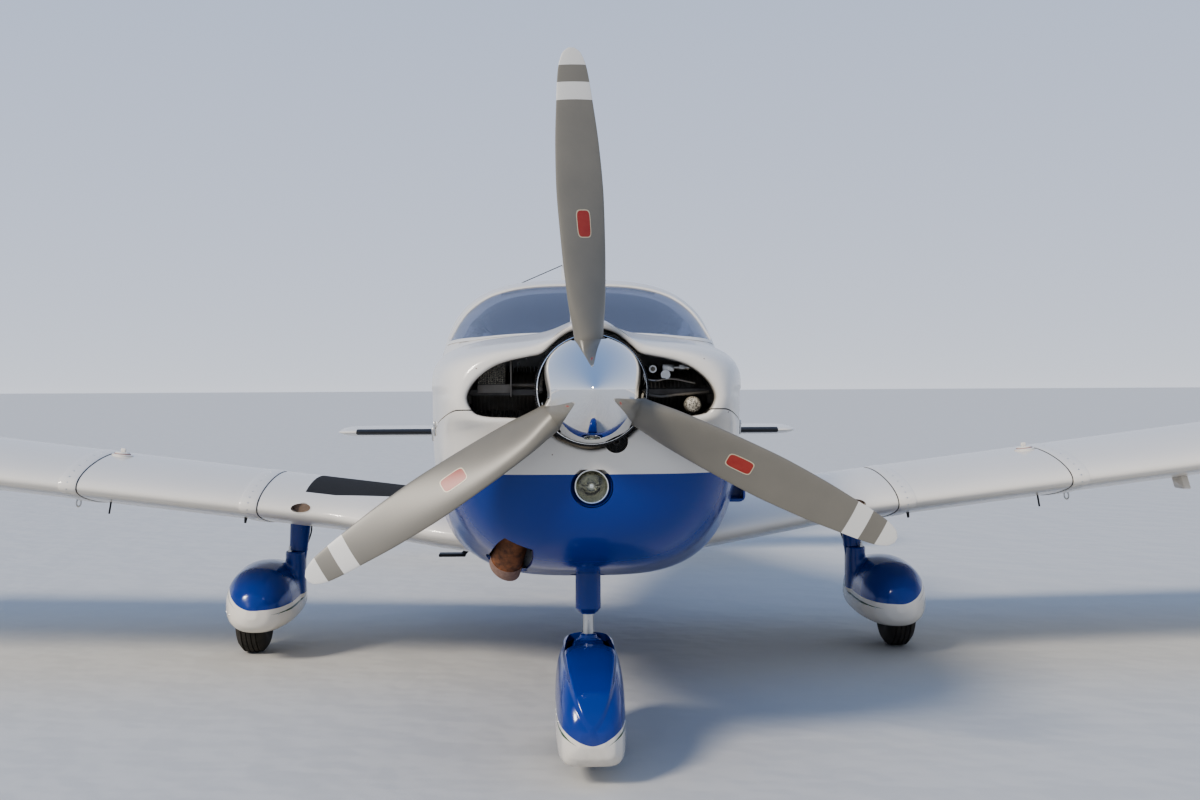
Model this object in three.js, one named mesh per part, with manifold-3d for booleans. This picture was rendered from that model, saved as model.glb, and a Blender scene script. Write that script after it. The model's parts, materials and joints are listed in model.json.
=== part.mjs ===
// A four-seat, low-wing, single-engined light aircraft with a fixed tricycle undercarriage,
// modelled as an assembly of its real pieces.
//
// Lengths are in millimetres. X runs from the aircraft's right wing tip to its left one, Y from the
// nose to the tail and Z up, with the ground at Z 0 and the origin below the middle of its length.
// Most shapes are drawn by station: the distance aft of the propeller's plane.

import * as THREE from 'three';
import { mergeVertices } from 'three/addons/utils/BufferGeometryUtils.js';
import Module from 'manifold-3d';

const wasm = await Module();
wasm.setup();

// Driving dimensions
const SPAN = 9750;
const NOSE_STATION = -260;
const TAIL_STATION = 7080;
const HUB_HEIGHT = 1250;
const FIREWALL = 1105;
const FIREWALL_THICKNESS = 20;
const CABIN_END = 4350;
const TAIL_CONE_END = 6560;
const WALL = 40;
const FLOOR_DEPTH = 95;
const COWL_THICKNESS = 10;
const JOINT_GAP = 0.4;
const MOVING_GAP = 7;
const DOOR_GAP = 9;
const FULL_TURN = 2 * Math.PI;

const WING_CHORD = 1600;
const WING_STATION = 1980;
const WING_HEIGHT = 581;
const DIHEDRAL = THREE.MathUtils.degToRad(7);
const WING_THICKNESS = 0.145;
const WING_CAMBER = 0.022;

const PROPELLER_RADIUS = 1012;
const PROPELLER_TURN = THREE.MathUtils.degToRad(3.3);
const BLADES = 3;
const SPINNER_RADIUS = 164;
const SPINNER_BACK = 82;

const MAIN_AXLE = { station: 2760, x: 1540, height: 195 };
const MAIN_TYRE = { radius: 195, width: 150, rim: 80 };
const MAIN_LEG_X = 1326;
const NOSE_AXLE = { station: 670, height: 186 };
const NOSE_TYRE = { radius: 186, width: 130, rim: 70 };

const colour = (hex, roughness, metalness = 0) =>
  new THREE.MeshStandardMaterial({ color: hex, roughness, metalness });

const MATERIALS = {
  white: colour(0xe9e6e0, 0.25),
  blue: colour(0x0b3a94, 0.2),
  blade: colour(0x77756e, 0.4),
  chrome: colour(0xd5d8dc, 0.05, 1),
  steel: colour(0xa9abad, 0.3, 1),
  black: colour(0x1b1b1c, 0.6),
  tyre: colour(0x202020, 0.9),
  engine: colour(0x4b4c4e, 0.6, 0.6),
  exhaust: colour(0x8a5a3a, 0.7, 0.5),
  lamp: colour(0xcfcdb8, 0.1, 0.6),
  seat: colour(0x5c636c, 0.8),
  glass: new THREE.MeshStandardMaterial({
    color: 0x7f93ad,
    roughness: 0.05,
    transparent: true,
    opacity: 0.4,
  }),
};

// Solids

const vector = (x, y, z) => new THREE.Vector3(x, y, z);

function solidOf(geometry) {
  const bare = geometry.index ? geometry.toNonIndexed() : geometry.clone();
  bare.deleteAttribute('normal');
  bare.deleteAttribute('uv');
  const merged = mergeVertices(bare, 1e-3);
  const made = (triangles) =>
    new wasm.Manifold(
      new wasm.Mesh({
        numProp: 3,
        vertProperties: merged.attributes.position.array,
        triVerts: triangles,
      }),
    );
  const triangles = new Uint32Array(merged.index.array);
  const solid = made(triangles);
  return solid.volume() < 0 ? made(triangles.reverse()) : solid;
}

function geometryOf(solid) {
  const { vertProperties, triVerts, numProp, numVert } = solid.getMesh();
  const positions = new Float32Array(numVert * 3);
  for (let i = 0; i < numVert; i++) {
    positions.set(vertProperties.subarray(i * numProp, i * numProp + 3), i * 3);
  }
  const geometry = new THREE.BufferGeometry();
  geometry.setAttribute('position', new THREE.BufferAttribute(positions, 3));
  geometry.setIndex(new THREE.BufferAttribute(triVerts, 1));
  geometry.computeVertexNormals();
  return geometry;
}

const join = (...solids) => solids.reduce((whole, solid) => whole.add(solid));
const cut = (whole, ...tools) => tools.reduce((rest, tool) => rest.subtract(tool), whole);

// A solid skinned over rings that all have the same number of points, its faces on either side of
// X 0 each other's mirror images. A closed loft is a tube bent round on itself; an open one has flat
// ends, each closed by strips across it.
function loft(rings, closed = false) {
  const count = rings[0].length;
  const positions = rings.flat().flatMap((p) => [p.x, p.y, p.z]);
  const index = [];
  const spans = closed ? rings.length : rings.length - 1;
  for (let i = 0; i < spans; i++) {
    const here = i * count;
    const next = ((i + 1) % rings.length) * count;
    for (let j = 0; j < count; j++) {
      const k = (j + 1) % count;
      if (rings[i][j].x + rings[i][k].x < 0) index.push(here + j, next + j, here + k, here + k, next + j, next + k);
      else index.push(here + j, next + j, next + k, here + j, next + k, here + k);
    }
  }
  if (!closed) {
    [0, (rings.length - 1) * count].forEach((start, end) => {
      for (let a = 0, b = count - 1; a + 1 < b; a++, b--) {
        const strip = [[a, b, a + 1], [a + 1, b, b - 1]].filter(([, , c], n) => n === 0 || c !== a + 1);
        strip.forEach((t) => index.push(...(end ? t : t.toReversed()).map((v) => start + v)));
      }
    });
  }
  const geometry = new THREE.BufferGeometry();
  geometry.setAttribute('position', new THREE.Float32BufferAttribute(positions, 3));
  geometry.setIndex(index);
  return solidOf(geometry);
}

function box(low, high) {
  const size = high.map((v, i) => v - low[i]);
  const middle = high.map((v, i) => (v + low[i]) / 2);
  return solidOf(new THREE.BoxGeometry(...size).translate(...middle));
}

// A cylinder or cone between two points.
function rod(from, to, radius, endRadius = radius, sides = 24) {
  const along = to.clone().sub(from);
  const geometry = new THREE.CylinderGeometry(endRadius, radius, along.length(), sides);
  geometry.translate(0, along.length() / 2, 0);
  const turn = new THREE.Quaternion().setFromUnitVectors(vector(0, 1, 0), along.normalize());
  return solidOf(geometry.applyQuaternion(turn).translate(from.x, from.y, from.z));
}

// A tube of round section along a bent path.
function tube(points, radius, steps = 12, sides = 12) {
  const section = new THREE.Shape().absarc(0, 0, radius, 0, FULL_TURN);
  const path = new THREE.CatmullRomCurve3(points);
  return solidOf(
    new THREE.ExtrudeGeometry(section, { steps, curveSegments: sides / 2, extrudePath: path }),
  );
}

// A solid of revolution about the Y axis, or about the X axis, from [radius, distance] points.
function turned(profile, sides = 32, aboutX = false) {
  const points = profile.map(([radius, along]) => new THREE.Vector2(radius, along));
  const geometry = new THREE.LatheGeometry([...points, points[0]], sides);
  return solidOf(aboutX ? geometry.rotateZ(-Math.PI / 2) : geometry);
}

// Points of a side view, each [station, height], moved inwards by a distance.
function inset(points, distance) {
  const corners = points.map(([s, z]) => new THREE.Vector2(s, z));
  const turn = THREE.ShapeUtils.isClockWise(corners) ? 1 : -1;
  return corners.map((corner, i) => {
    const before = corners.at(i - 1);
    const after = corners[(i + 1) % corners.length];
    const a = corner.clone().sub(before).normalize();
    const b = after.clone().sub(corner).normalize();
    const normalA = new THREE.Vector2(a.y, -a.x).multiplyScalar(turn * distance);
    const normalB = new THREE.Vector2(b.y, -b.x).multiplyScalar(turn * distance);
    const reach = 1 + normalA.dot(normalB) / (distance * distance);
    return corner.clone().add(normalA.add(normalB).divideScalar(reach)).toArray();
  });
}

// A side view's outline, with its corners rounded.
function rounded(points, radius) {
  const shape = new THREE.Shape();
  points.forEach((point, i) => {
    const corner = new THREE.Vector2(...point);
    const ends = [points.at(i - 1), points[(i + 1) % points.length]].map((other) => {
      const way = new THREE.Vector2(...other).sub(corner);
      return way.clone().setLength(Math.min(radius, way.length() * 0.45)).add(corner);
    });
    if (i) shape.lineTo(...ends[0]);
    else shape.moveTo(...ends[0]);
    shape.quadraticCurveTo(...corner, ...ends[1]);
  });
  return shape;
}

// A side view's outline, extruded across the aircraft from one X to another.
function prism(points, fromX, toX, radius = 0.5, segments = 3) {
  const geometry = new THREE.ExtrudeGeometry(rounded(points, radius), {
    depth: toX - fromX,
    bevelEnabled: false,
    curveSegments: segments,
  });
  const across = new THREE.Matrix4().makeBasis(vector(0, 1, 0), vector(0, 0, 1), vector(1, 0, 0));
  return solidOf(geometry.applyMatrix4(across).translate(fromX, 0, 0));
}

// The assembly

const airframe = new THREE.Group();
airframe.position.y = -(NOSE_STATION + TAIL_STATION) / 2;

function piece(name, solid, material, parent = airframe) {
  const mesh = new THREE.Mesh(geometryOf(solid), MATERIALS[material]);
  mesh.name = name;
  parent.add(mesh);
  return mesh;
}

// A table's rows at any place along it, each column following a smooth curve that never
// overshoots its rows.
function along(table, place) {
  const last = table.length - 1;
  const at = Math.min(Math.max(table.findIndex((row) => row[0] > place), 1), last);
  const i = place >= table[last][0] ? last - 1 : at - 1;
  const [a, b] = [table[i], table[i + 1]];
  const span = b[0] - a[0];
  const t = Math.min(Math.max((place - a[0]) / span, 0), 1);
  const slope = (k, c) => (table[k + 1][c] - table[k][c]) / (table[k + 1][0] - table[k][0]);
  const tangent = (k, c) => {
    if (k === 0 || k === last) return slope(Math.min(k, last - 1), c);
    const [before, after] = [slope(k - 1, c), slope(k, c)];
    return before * after <= 0 ? 0 : (2 * before * after) / (before + after);
  };
  return a.map((_, c) => {
    const [m0, m1] = [tangent(i, c) * span, tangent(i + 1, c) * span];
    return (
      (2 * t ** 3 - 3 * t ** 2 + 1) * a[c] +
      (t ** 3 - 2 * t ** 2 + t) * m0 +
      (3 * t ** 2 - 2 * t ** 3) * b[c] +
      (t ** 3 - t ** 2) * m1
    );
  });
}

// Fuselage
//
// Columns: station, half width, top, waist, bottom, roundness of the roof, roundness of the belly,
// height of the ridge that runs along the top of the cowl.
const FUSELAGE = [
  [480, 498, 1412, HUB_HEIGHT, 652, 3.2, 2.3, 72],
  [760, 531, 1432, HUB_HEIGHT, 602, 3.2, 2.6, 60],
  [1105, 556, 1448, HUB_HEIGHT, 568, 3.0, 3.6, 30],
  [1480, 574, 1458, HUB_HEIGHT, 553, 3.0, 4.3, 0],
  [1560, 576, 1492, HUB_HEIGHT, 551, 3.0, 4.3, 0],
  [1700, 579, 1572, HUB_HEIGHT, 549, 3.0, 4.3, 0],
  [1850, 581, 1650, HUB_HEIGHT, 548, 3.0, 4.3, 0],
  [2000, 582, 1704, HUB_HEIGHT, 547, 3.1, 4.3, 0],
  [2150, 583, 1726, HUB_HEIGHT, 546, 3.1, 4.3, 0],
  [2400, 584, 1738, HUB_HEIGHT, 545, 3.1, 4.3, 0],
  [2850, 582, 1742, HUB_HEIGHT, 545, 3.1, 4.0, 0],
  [3300, 556, 1712, 1240, 554, 2.9, 3.6, 0],
  [3800, 496, 1612, 1200, 590, 2.7, 3.0, 0],
  [4350, 408, 1492, 1140, 648, 2.4, 2.7, 0],
  [5200, 272, 1375, 1075, 742, 2.2, 2.4, 0],
  [6000, 150, 1272, 1045, 822, 2.1, 2.2, 0],
  [6560, 82, 1208, 1035, 872, 2.0, 2.0, 0],
];
const RIDGE_SPREAD = 0.58;
const BODY_SIDES = 28;
const evenAngles = (count) => Array.from({ length: count }, (_, i) => ((i + 0.5) * FULL_TURN) / count);
const BODY_ANGLES = evenAngles(BODY_SIDES);

// One cross-section of the fuselage, drawn in from its skin by a distance, and by more at the floor.
function bodyRing(station, angles = BODY_ANGLES, skin = 0, floor = skin) {
  const [, half, top, waist, bottom, roof, belly, ridge] = along(FUSELAGE, station);
  return angles.map((angle) => {
    const [c, s] = [Math.cos(angle), Math.sin(angle)];
    const height = s > 0 ? top - skin - waist : waist - bottom - floor;
    const power = s > 0 ? roof : belly;
    const round = ((Math.abs(c) / (half - skin)) ** power + (Math.abs(s) / height) ** power) ** (-1 / power);
    const reach = round + (s > 0 ? ridge * Math.exp(-((c / RIDGE_SPREAD) ** 2)) : 0);
    return vector(reach * c, station, waist + reach * s);
  });
}

const stations = (from, to, ...between) => [from, ...between.filter((s) => s > from && s < to), to];
const BODY_STATIONS = [1300, 1480, 1560, 1700, 1850, 2000, 2150, 2400, 2850, 3300, 3800, 4350, 4780, 5200,
  5600, 6000];

const bodySolid = (from, to, skin, floor) =>
  loft(stations(from, to, ...BODY_STATIONS).map((s) => bodyRing(s, BODY_ANGLES, skin, floor)));

const CABIN_START = FIREWALL + FIREWALL_THICKNESS;
const SIDE = 900;
const cabinOuter = bodySolid(CABIN_START, CABIN_END, 0);
const cabinInner = bodySolid(CABIN_START - 5, CABIN_END + 5, WALL, FLOOR_DEPTH);
const cabinWall = cut(cabinOuter, cabinInner);

// Windows and doors in side view, each point [station, height]
const WINDSHIELD = [[1496, 1446], [1745, 1424], [1908, 1552], [1978, 1660], [1982, 1900], [1480, 1900]];
const FRONT_WINDOW = [[1996, 1300], [2130, 1566], [2738, 1596], [2752, 1300]];
const REAR_WINDOW = [[2862, 1300], [2850, 1612], [3325, 1575], [3372, 1300]];
const AFT_WINDOW = [[3462, 1300], [3440, 1552], [3590, 1515], [3830, 1318], [3826, 1300]];
const DOOR = [[1930, 890], [1930, 1330], [2100, 1640], [2806, 1640], [2806, 890]];
const BAGGAGE_DOOR = [[3740, 790], [3740, 1250], [4262, 1215], [4262, 790]];
const WINDOW_CORNER = 55;
const DOOR_CORNER = 110;
const DOOR_THICKNESS = 25;
const DOOR_HINGE_X = -581;
const DOOR_REACH = 881;
const BAGGAGE_HINGE_X = -504;
const BAGGAGE_REACH = 532;
const POST_HALF = 26;
const GLASS_DEPTH = 6;
const GLASS_THICKNESS = 8;

const glassSkin = cut(
  bodySolid(CABIN_START + 50, CABIN_END - 50, GLASS_DEPTH),
  bodySolid(CABIN_START + 45, CABIN_END - 45, GLASS_DEPTH + GLASS_THICKNESS),
);

// Each pane: its node, its outline, and the X range that it is cut from.
const PANES = [
  ['windshield_left', WINDSHIELD, POST_HALF, SIDE],
  ['windshield_right', WINDSHIELD, -SIDE, -POST_HALF],
  ['window_left_front', FRONT_WINDOW, POST_HALF, SIDE],
  ['window_left_rear', REAR_WINDOW, POST_HALF, SIDE],
  ['window_left_aft', AFT_WINDOW, POST_HALF, SIDE],
  ['window_right_rear', REAR_WINDOW, -SIDE, -POST_HALF],
  ['window_right_aft', AFT_WINDOW, -SIDE, -POST_HALF],
];

const starboard = (points, radius) => prism(points, -SIDE, -POST_HALF, radius);
const windowHoles = PANES.map(([, outline, from, to]) => prism(outline, from, to, WINDOW_CORNER));
const doorHole = starboard(inset(DOOR, -DOOR_GAP), DOOR_CORNER + DOOR_GAP);
const baggageHole = starboard(inset(BAGGAGE_DOOR, -DOOR_GAP), DOOR_CORNER + DOOR_GAP);

// The shell's four skins: a floor, a roof that holds the windshield's centre post, and two sides.
// Each is the shell inside a box: node, lowest corner's X and Z, highest corner's X and Z.
const FLOOR_SEAM = 770;
const ROOF_SEAM_X = 330;
const ROOF_BOTTOM = 1250;
const SKY = 2000;
const SKINS = [
  ['cabin_floor', [-SIDE, 0], [SIDE, FLOOR_SEAM]],
  ['cabin_roof', [-ROOF_SEAM_X, ROOF_BOTTOM], [ROOF_SEAM_X, SKY]],
  ['cabin_side_left', [ROOF_SEAM_X, FLOOR_SEAM], [SIDE, SKY]],
  ['cabin_side_right', [-SIDE, FLOOR_SEAM], [-ROOF_SEAM_X, SKY]],
];
const cabinShell = cut(cabinWall, ...windowHoles, doorHole, baggageHole);
for (const [name, low, high] of SKINS) {
  const gap = JOINT_GAP / 2;
  const room = box([low[0] + gap, 0, low[1] + gap], [high[0] - gap, TAIL_STATION, high[1] - gap]);
  piece(name, cabinShell.intersect(room), 'white');
}

for (const [name, outline, from, to] of PANES) {
  const room = prism(inset(outline, JOINT_GAP), from + JOINT_GAP, to - JOINT_GAP, WINDOW_CORNER);
  piece(name, glassSkin.intersect(room), 'glass');
}

// Each door's edges stay inside a cylinder about its hinge, so that they clear the frame as it opens.
const doorWall = cut(cabinOuter, bodySolid(CABIN_START - 5, CABIN_END + 5, DOOR_THICKNESS));
const doorFrom = (outline, hingeX, reach) => {
  const hinge = outline[0][0] - DOOR_GAP / 2;
  return doorWall
    .intersect(starboard(outline, DOOR_CORNER))
    .intersect(rod(vector(hingeX, hinge, 600), vector(hingeX, hinge, 1800), reach, reach, 96));
};
const doorPanel = doorFrom(DOOR, DOOR_HINGE_X, DOOR_REACH);
const doorPane = starboard(inset(FRONT_WINDOW, JOINT_GAP), WINDOW_CORNER);
piece('cabin_door', cut(doorPanel, starboard(FRONT_WINDOW, WINDOW_CORNER)), 'white');
piece('door_window', glassSkin.intersect(doorPane), 'glass');
piece('baggage_door', doorFrom(BAGGAGE_DOOR, BAGGAGE_HINGE_X, BAGGAGE_REACH), 'white');

// Tail cone, hollow as far as its last frame, with a bore for the tailplane's torque tube
const TAILPLANE_PIVOT = { station: 6420, height: 940 };
const TORQUE_TUBE = 22;
const TAIL_SKIN = 14;
const tailOuter = bodySolid(CABIN_END + JOINT_GAP, TAIL_CONE_END, 0);
const tailInner = bodySolid(CABIN_END - 5, 6100, TAIL_SKIN);
const tubeBore = rod(
  vector(-SIDE, TAILPLANE_PIVOT.station, TAILPLANE_PIVOT.height),
  vector(SIDE, TAILPLANE_PIVOT.station, TAILPLANE_PIVOT.height),
  TORQUE_TUBE + 6,
);
const tailCone = cut(tailOuter, tailInner, tubeBore);

// Cowl
//
// The cooling air opening, half of its outline about the hub: columns: distance out, height above
// the hub. It narrows round the spinner and widens into an inlet on each side.
const INLET = [
  [0, 187], [70, 172], [118, 136], [150, 109], [196, 99], [245, 89], [290, 74], [330, 49],
  [362, 17], [379, -20], [372, -50], [350, -74], [310, -83], [262, -85], [212, -88],
  [166, -94], [140, -120], [92, -157], [0, -184],
];
const LIP_STATION = 104;
const ROLL_END = 480;
const COWL_END = FIREWALL - JOINT_GAP;
const COWL_SIDES = 44;

const inletPoints = [...INLET, ...INLET.slice(1, -1).reverse().map(([x, z]) => [-x, z])];
const inletCurve = new THREE.CatmullRomCurve3(inletPoints.map(([x, z]) => vector(x, 0, z)), true);
const inletRing = inletCurve.getSpacedPoints(COWL_SIDES).slice(0, -1);
const cowlAngles = inletRing.map((p) => Math.atan2(p.z, p.x));

// The cowl's skin at a share of the roll from the inlet's lip, 0, to the full section, 1.
function rollRing(share, skin) {
  const full = bodyRing(ROLL_END, cowlAngles, skin);
  return inletRing.map((edge, i) => {
    const upward = Math.max(0, Math.sin(cowlAngles[i]));
    const power = 2 / (2.1 + 2.2 * upward);
    const out = Math.sin((share * Math.PI) / 2) ** power;
    const back = 1 - Math.cos((share * Math.PI) / 2) ** power;
    const lip = LIP_STATION + skin;
    const growth = 1 + skin / 400;
    return vector(
      THREE.MathUtils.lerp(edge.x * growth, full[i].x, out),
      THREE.MathUtils.lerp(lip, ROLL_END, back),
      THREE.MathUtils.lerp(HUB_HEIGHT + edge.z * growth, full[i].z, out),
    );
  });
}

const ROLL_SHARES = [0, 0.25, 0.48, 0.72, 1];
const cowlSkin = (skin) => [
  ...ROLL_SHARES.map((share) => rollRing(share, skin)),
  ...[760, COWL_END].map((s) => bodyRing(s, cowlAngles, skin)),
];
const cowl = loft([...cowlSkin(0), ...cowlSkin(COWL_THICKNESS).reverse()], true);

// The halves part along a line that drops towards the tail, [station, height].
const SPLIT_LINE = [[0, 1178], [450, 1165], [1300, 1075]];
const splitLine = (offset) => SPLIT_LINE.map(([s, z]) => [s, z + offset]);
const above = prism([...splitLine(JOINT_GAP / 2), [1300, 1900], [0, 1900]], -SIDE, SIDE);
const below = prism([...splitLine(-JOINT_GAP / 2), [1300, 300], [0, 300]], -SIDE, SIDE);

const LEG_OPENING = 62;
const LAMP = { height: 952, radius: 53, rim: 63, front: 148, depth: 50 };
const PULLEY = { x: 74, drop: 158, radius: 36 };
const EXHAUST = [
  vector(-112, 452, 1000), vector(-132, 452, 920), vector(-196, 466, 866), vector(-238, 500, 796),
  vector(-262, 560, 712), vector(-283, 622, 645),
];
const EXHAUST_RADIUS = 50;
const lampHole = rod(vector(0, 100, LAMP.height), vector(0, 420, LAMP.height), LAMP.rim, LAMP.rim, 28);
const pulleyNotch = rod(
  vector(PULLEY.x, 60, HUB_HEIGHT - PULLEY.drop),
  vector(PULLEY.x, 240, HUB_HEIGHT - PULLEY.drop),
  PULLEY.radius,
);
const legOpening = rod(
  vector(0, NOSE_AXLE.station, 400),
  vector(0, NOSE_AXLE.station, 900),
  LEG_OPENING,
);
const exhaustOpening = join(
  rod(vector(-226, 440, 830), vector(-274, 600, 673), EXHAUST_RADIUS + 26),
  rod(vector(-262, 560, 712), vector(-306, 690, 560), EXHAUST_RADIUS + 26),
);
const airOutlet = box([-200, 900, 400], [200, COWL_END + 10, 640]);

piece('cowl_upper', cowl.intersect(above), 'white');
piece(
  'cowl_lower',
  cut(cowl.intersect(below), lampHole, pulleyNotch, legOpening, exhaustOpening, airOutlet),
  'blue',
);

// The lamp's can fills its hole, behind the rim of a shallow reflector.
const lampCan = LAMP.rim - JOINT_GAP;
piece(
  'landing_light',
  turned([
    [0, 18], [LAMP.radius * 0.6, 22], [LAMP.radius - 4, 34], [LAMP.radius, 0], [lampCan, 0],
    [lampCan, LAMP.depth], [0, LAMP.depth],
  ], 28).translate([0, LAMP.front, LAMP.height]),
  'lamp',
);

// Firewall, with the bearing that holds the nose leg
const legBearing = rod(
  vector(0, NOSE_AXLE.station, 720),
  vector(0, NOSE_AXLE.station, 900),
  74,
);
const firewallPlate = loft([FIREWALL, CABIN_START - JOINT_GAP].map((s) => bodyRing(s)));
const bearingArm = box([-60, NOSE_AXLE.station + 30, 730], [60, FIREWALL + 5, 890]);
const LEG_RADIUS = 43;
const bearingBore = rod(
  vector(0, NOSE_AXLE.station, 600),
  vector(0, NOSE_AXLE.station, 1000),
  LEG_RADIUS + 1.5,
);
piece('firewall', cut(join(firewallPlate, legBearing, bearingArm), bearingBore), 'steel');

// Engine, one plain block: crankcase, cylinders and sump in section, [distance out, height]
const ENGINE = [
  [-420, 1155], [-420, 1330], [-170, 1345], [-150, 1372], [150, 1372], [170, 1345],
  [420, 1330], [420, 1155], [170, 1120], [150, 965], [-150, 965], [-170, 1120],
];
const ENGINE_FRONT = 205;
const ENGINE_LENGTH = 790;
const engineShape = new THREE.Shape(ENGINE.map(([x, z]) => new THREE.Vector2(x, z)));
const engine = solidOf(
  new THREE.ExtrudeGeometry(engineShape, { depth: ENGINE_LENGTH, bevelEnabled: false })
    .rotateX(Math.PI / 2)
    .translate(0, ENGINE_FRONT + ENGINE_LENGTH, 0),
);
piece('engine_block', engine, 'engine');

// The exhaust pipe drops from the sump and leaves through the cowl's lower right side.
const SUMP = Math.min(...ENGINE.map(([, z]) => z));
const aboveSump = box([-SIDE, 0, SUMP - JOINT_GAP], [SIDE, COWL_END, SUMP + 200]);
piece('exhaust_pipe', cut(tube(EXHAUST, EXHAUST_RADIUS, 10), aboveSump), 'exhaust');

// Propeller
//
// Columns: share of the radius, chord, thickness as a share of the chord, blade angle in degrees.
const BLADE = [
  [0.079, 92, 0.95, 50],
  [0.15, 108, 0.62, 46],
  [0.26, 140, 0.3, 38],
  [0.4, 150, 0.18, 30],
  [0.55, 152, 0.125, 23],
  [0.7, 139, 0.1, 18],
  [0.84, 113, 0.085, 15],
  [0.94, 88, 0.08, 13],
  [0.985, 56, 0.08, 12],
  [1.0, 20, 0.12, 12],
];
const BLADE_SIDES = 14;
const BLADE_SHARES = [0.079, 0.15, 0.2, 0.26, 0.4, 0.55, 0.7, 0.84, 0.94, 0.985, 1];

// One section of an upright blade. Its leading edge is towards -X, where the rotation takes it.
function bladeRing(share) {
  const [, chord, thick, pitch] = along(BLADE, share);
  const turn = THREE.MathUtils.degToRad(pitch);
  const thickness = chord * thick;
  const roundness = THREE.MathUtils.clamp((thick - 0.2) / 0.6, 0, 1);
  return Array.from({ length: BLADE_SIDES }, (_, i) => {
    const angle = ((i + 0.5) * FULL_TURN) / BLADE_SIDES;
    const across = (Math.cos(angle) * chord) / 2;
    const taper = THREE.MathUtils.lerp(1 - 0.32 * Math.cos(angle), 1, roundness);
    const deep = (Math.sin(angle) * thickness * taper) / 2;
    return vector(
      across * Math.cos(turn) - deep * Math.sin(turn),
      across * Math.sin(turn) + deep * Math.cos(turn),
      share * PROPELLER_RADIUS,
    );
  });
}

const propeller = new THREE.Group();
propeller.position.z = HUB_HEIGHT;
airframe.add(propeller);
const blade = loft(BLADE_SHARES.map(bladeRing));
const HUB_RADIUS = 78;
const bladeBore = rod(vector(0, 0, HUB_RADIUS), vector(0, 0, 260), 56, 56, 16);
for (let i = 0; i < BLADES; i++) {
  const arm = piece(`propeller_blade_${i + 1}`, blade, 'blade', propeller);
  arm.rotation.y = -PROPELLER_TURN - (i * FULL_TURN) / BLADES;
}
const spunAbout = (solid) =>
  Array.from({ length: BLADES }, (_, i) => {
    const degrees = -THREE.MathUtils.radToDeg(PROPELLER_TURN) - (i * 360) / BLADES;
    return solid.rotate([0, degrees, 0]);
  });

// Columns: radius, station. The cone is an ogive from its tip to the back plate.
const ogive = (radius, from, to, count) =>
  Array.from({ length: count + 1 }, (_, i) => {
    const share = i / count;
    return [radius * Math.sin((share * Math.PI) / 2) ** 0.86, from + (to - from) * share ** 1.12];
  });
const SPINNER_WALL = 5;
const spinner = turned([
  ...ogive(SPINNER_RADIUS, NOSE_STATION, SPINNER_BACK - 24, 9),
  [SPINNER_RADIUS, SPINNER_BACK],
  [HUB_RADIUS + 2, SPINNER_BACK],
  [HUB_RADIUS + 2, SPINNER_BACK - SPINNER_WALL],
  [SPINNER_RADIUS - SPINNER_WALL, SPINNER_BACK - SPINNER_WALL],
  ...ogive(SPINNER_RADIUS - SPINNER_WALL, NOSE_STATION + 12, SPINNER_BACK - 24, 5).reverse(),
], 28);
piece('spinner', cut(spinner, ...spunAbout(bladeBore)), 'chrome', propeller);
piece(
  'propeller_hub',
  turned([[0, -96], [62, -96], [HUB_RADIUS - 2, -78], [HUB_RADIUS - 2, 92], [56, 96], [56, 197], [0, 197]], 24),
  'steel',
  propeller,
);

// Wing
//
// Each wing is drawn flat, running out along +X from the centreline, and then set at its dihedral.
// Columns: distance out, leading edge station, chord, thickness as a share of the chord, twist.
const WING_TIP = SPAN / 2 / Math.cos(DIHEDRAL);
const TIP_LENGTH = 175;
const PANEL_END = WING_TIP - TIP_LENGTH;
const WING_ROOT = 400;
const WING = [
  [WING_ROOT, 1725, 1855, 0.14, 3.2],
  [600, 1760, 1820, 0.14, 3.2],
  [1080, WING_STATION, WING_CHORD, WING_THICKNESS, 3],
  [PANEL_END, WING_STATION, WING_CHORD, WING_THICKNESS, 1.8],
];
// The tip: columns: distance from the panel's end, leading edge moved aft, chord, share of thickness.
const TIP = [
  [0.4, 0, WING_CHORD, 1],
  [70, 18, 1575, 0.97],
  [125, 70, 1500, 0.8],
  [158, 150, 1390, 0.52],
  [170, 230, 1280, 0.22],
];
const SECTION_SIDES = 23;
const BLUNT_EDGE = 0.02;

// An aerofoil's outline from the trailing edge over the top to the nose and back below:
// [share of the chord, height as a share of the chord]. It is thickest near the middle, and its
// camber line carries the same lift all along.
function aerofoil(thickness, camber, sides = SECTION_SIDES) {
  return Array.from({ length: sides }, (_, i) => {
    const angle = THREE.MathUtils.lerp(BLUNT_EDGE, FULL_TURN - BLUNT_EDGE, i / (sides - 1));
    const x = THREE.MathUtils.clamp((1 + Math.cos(angle)) / 2, 1e-6, 1 - 1e-6);
    const half = thickness *
      (1.0655 * Math.sqrt(x) - 0.4754 * x + 1.7691 * x ** 2 - 5.3823 * x ** 3 + 3.0358 * x ** 4);
    const line = -camber * (x * Math.log2(x) + (1 - x) * Math.log2(1 - x));
    return [x, line + Math.sign(Math.sin(angle)) * half];
  });
}

function wingRing(x, lead, chord, thickness, twist) {
  const turn = THREE.MathUtils.degToRad(twist);
  return aerofoil(thickness, WING_CAMBER).map(([share, height]) =>
    vector(
      x,
      lead + chord * (share * Math.cos(turn) + height * Math.sin(turn)),
      chord * (height * Math.cos(turn) - share * Math.sin(turn)),
    ),
  );
}

// The spans of the leading edge tank, flap and aileron, as distances out
const TANK = { from: 1436, to: 2182, back: 2560 };
const FLAP = { from: 640, to: 2830, station: 3292 };
const AILERON = { from: 2860, to: 4560, station: 3262 };

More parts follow.
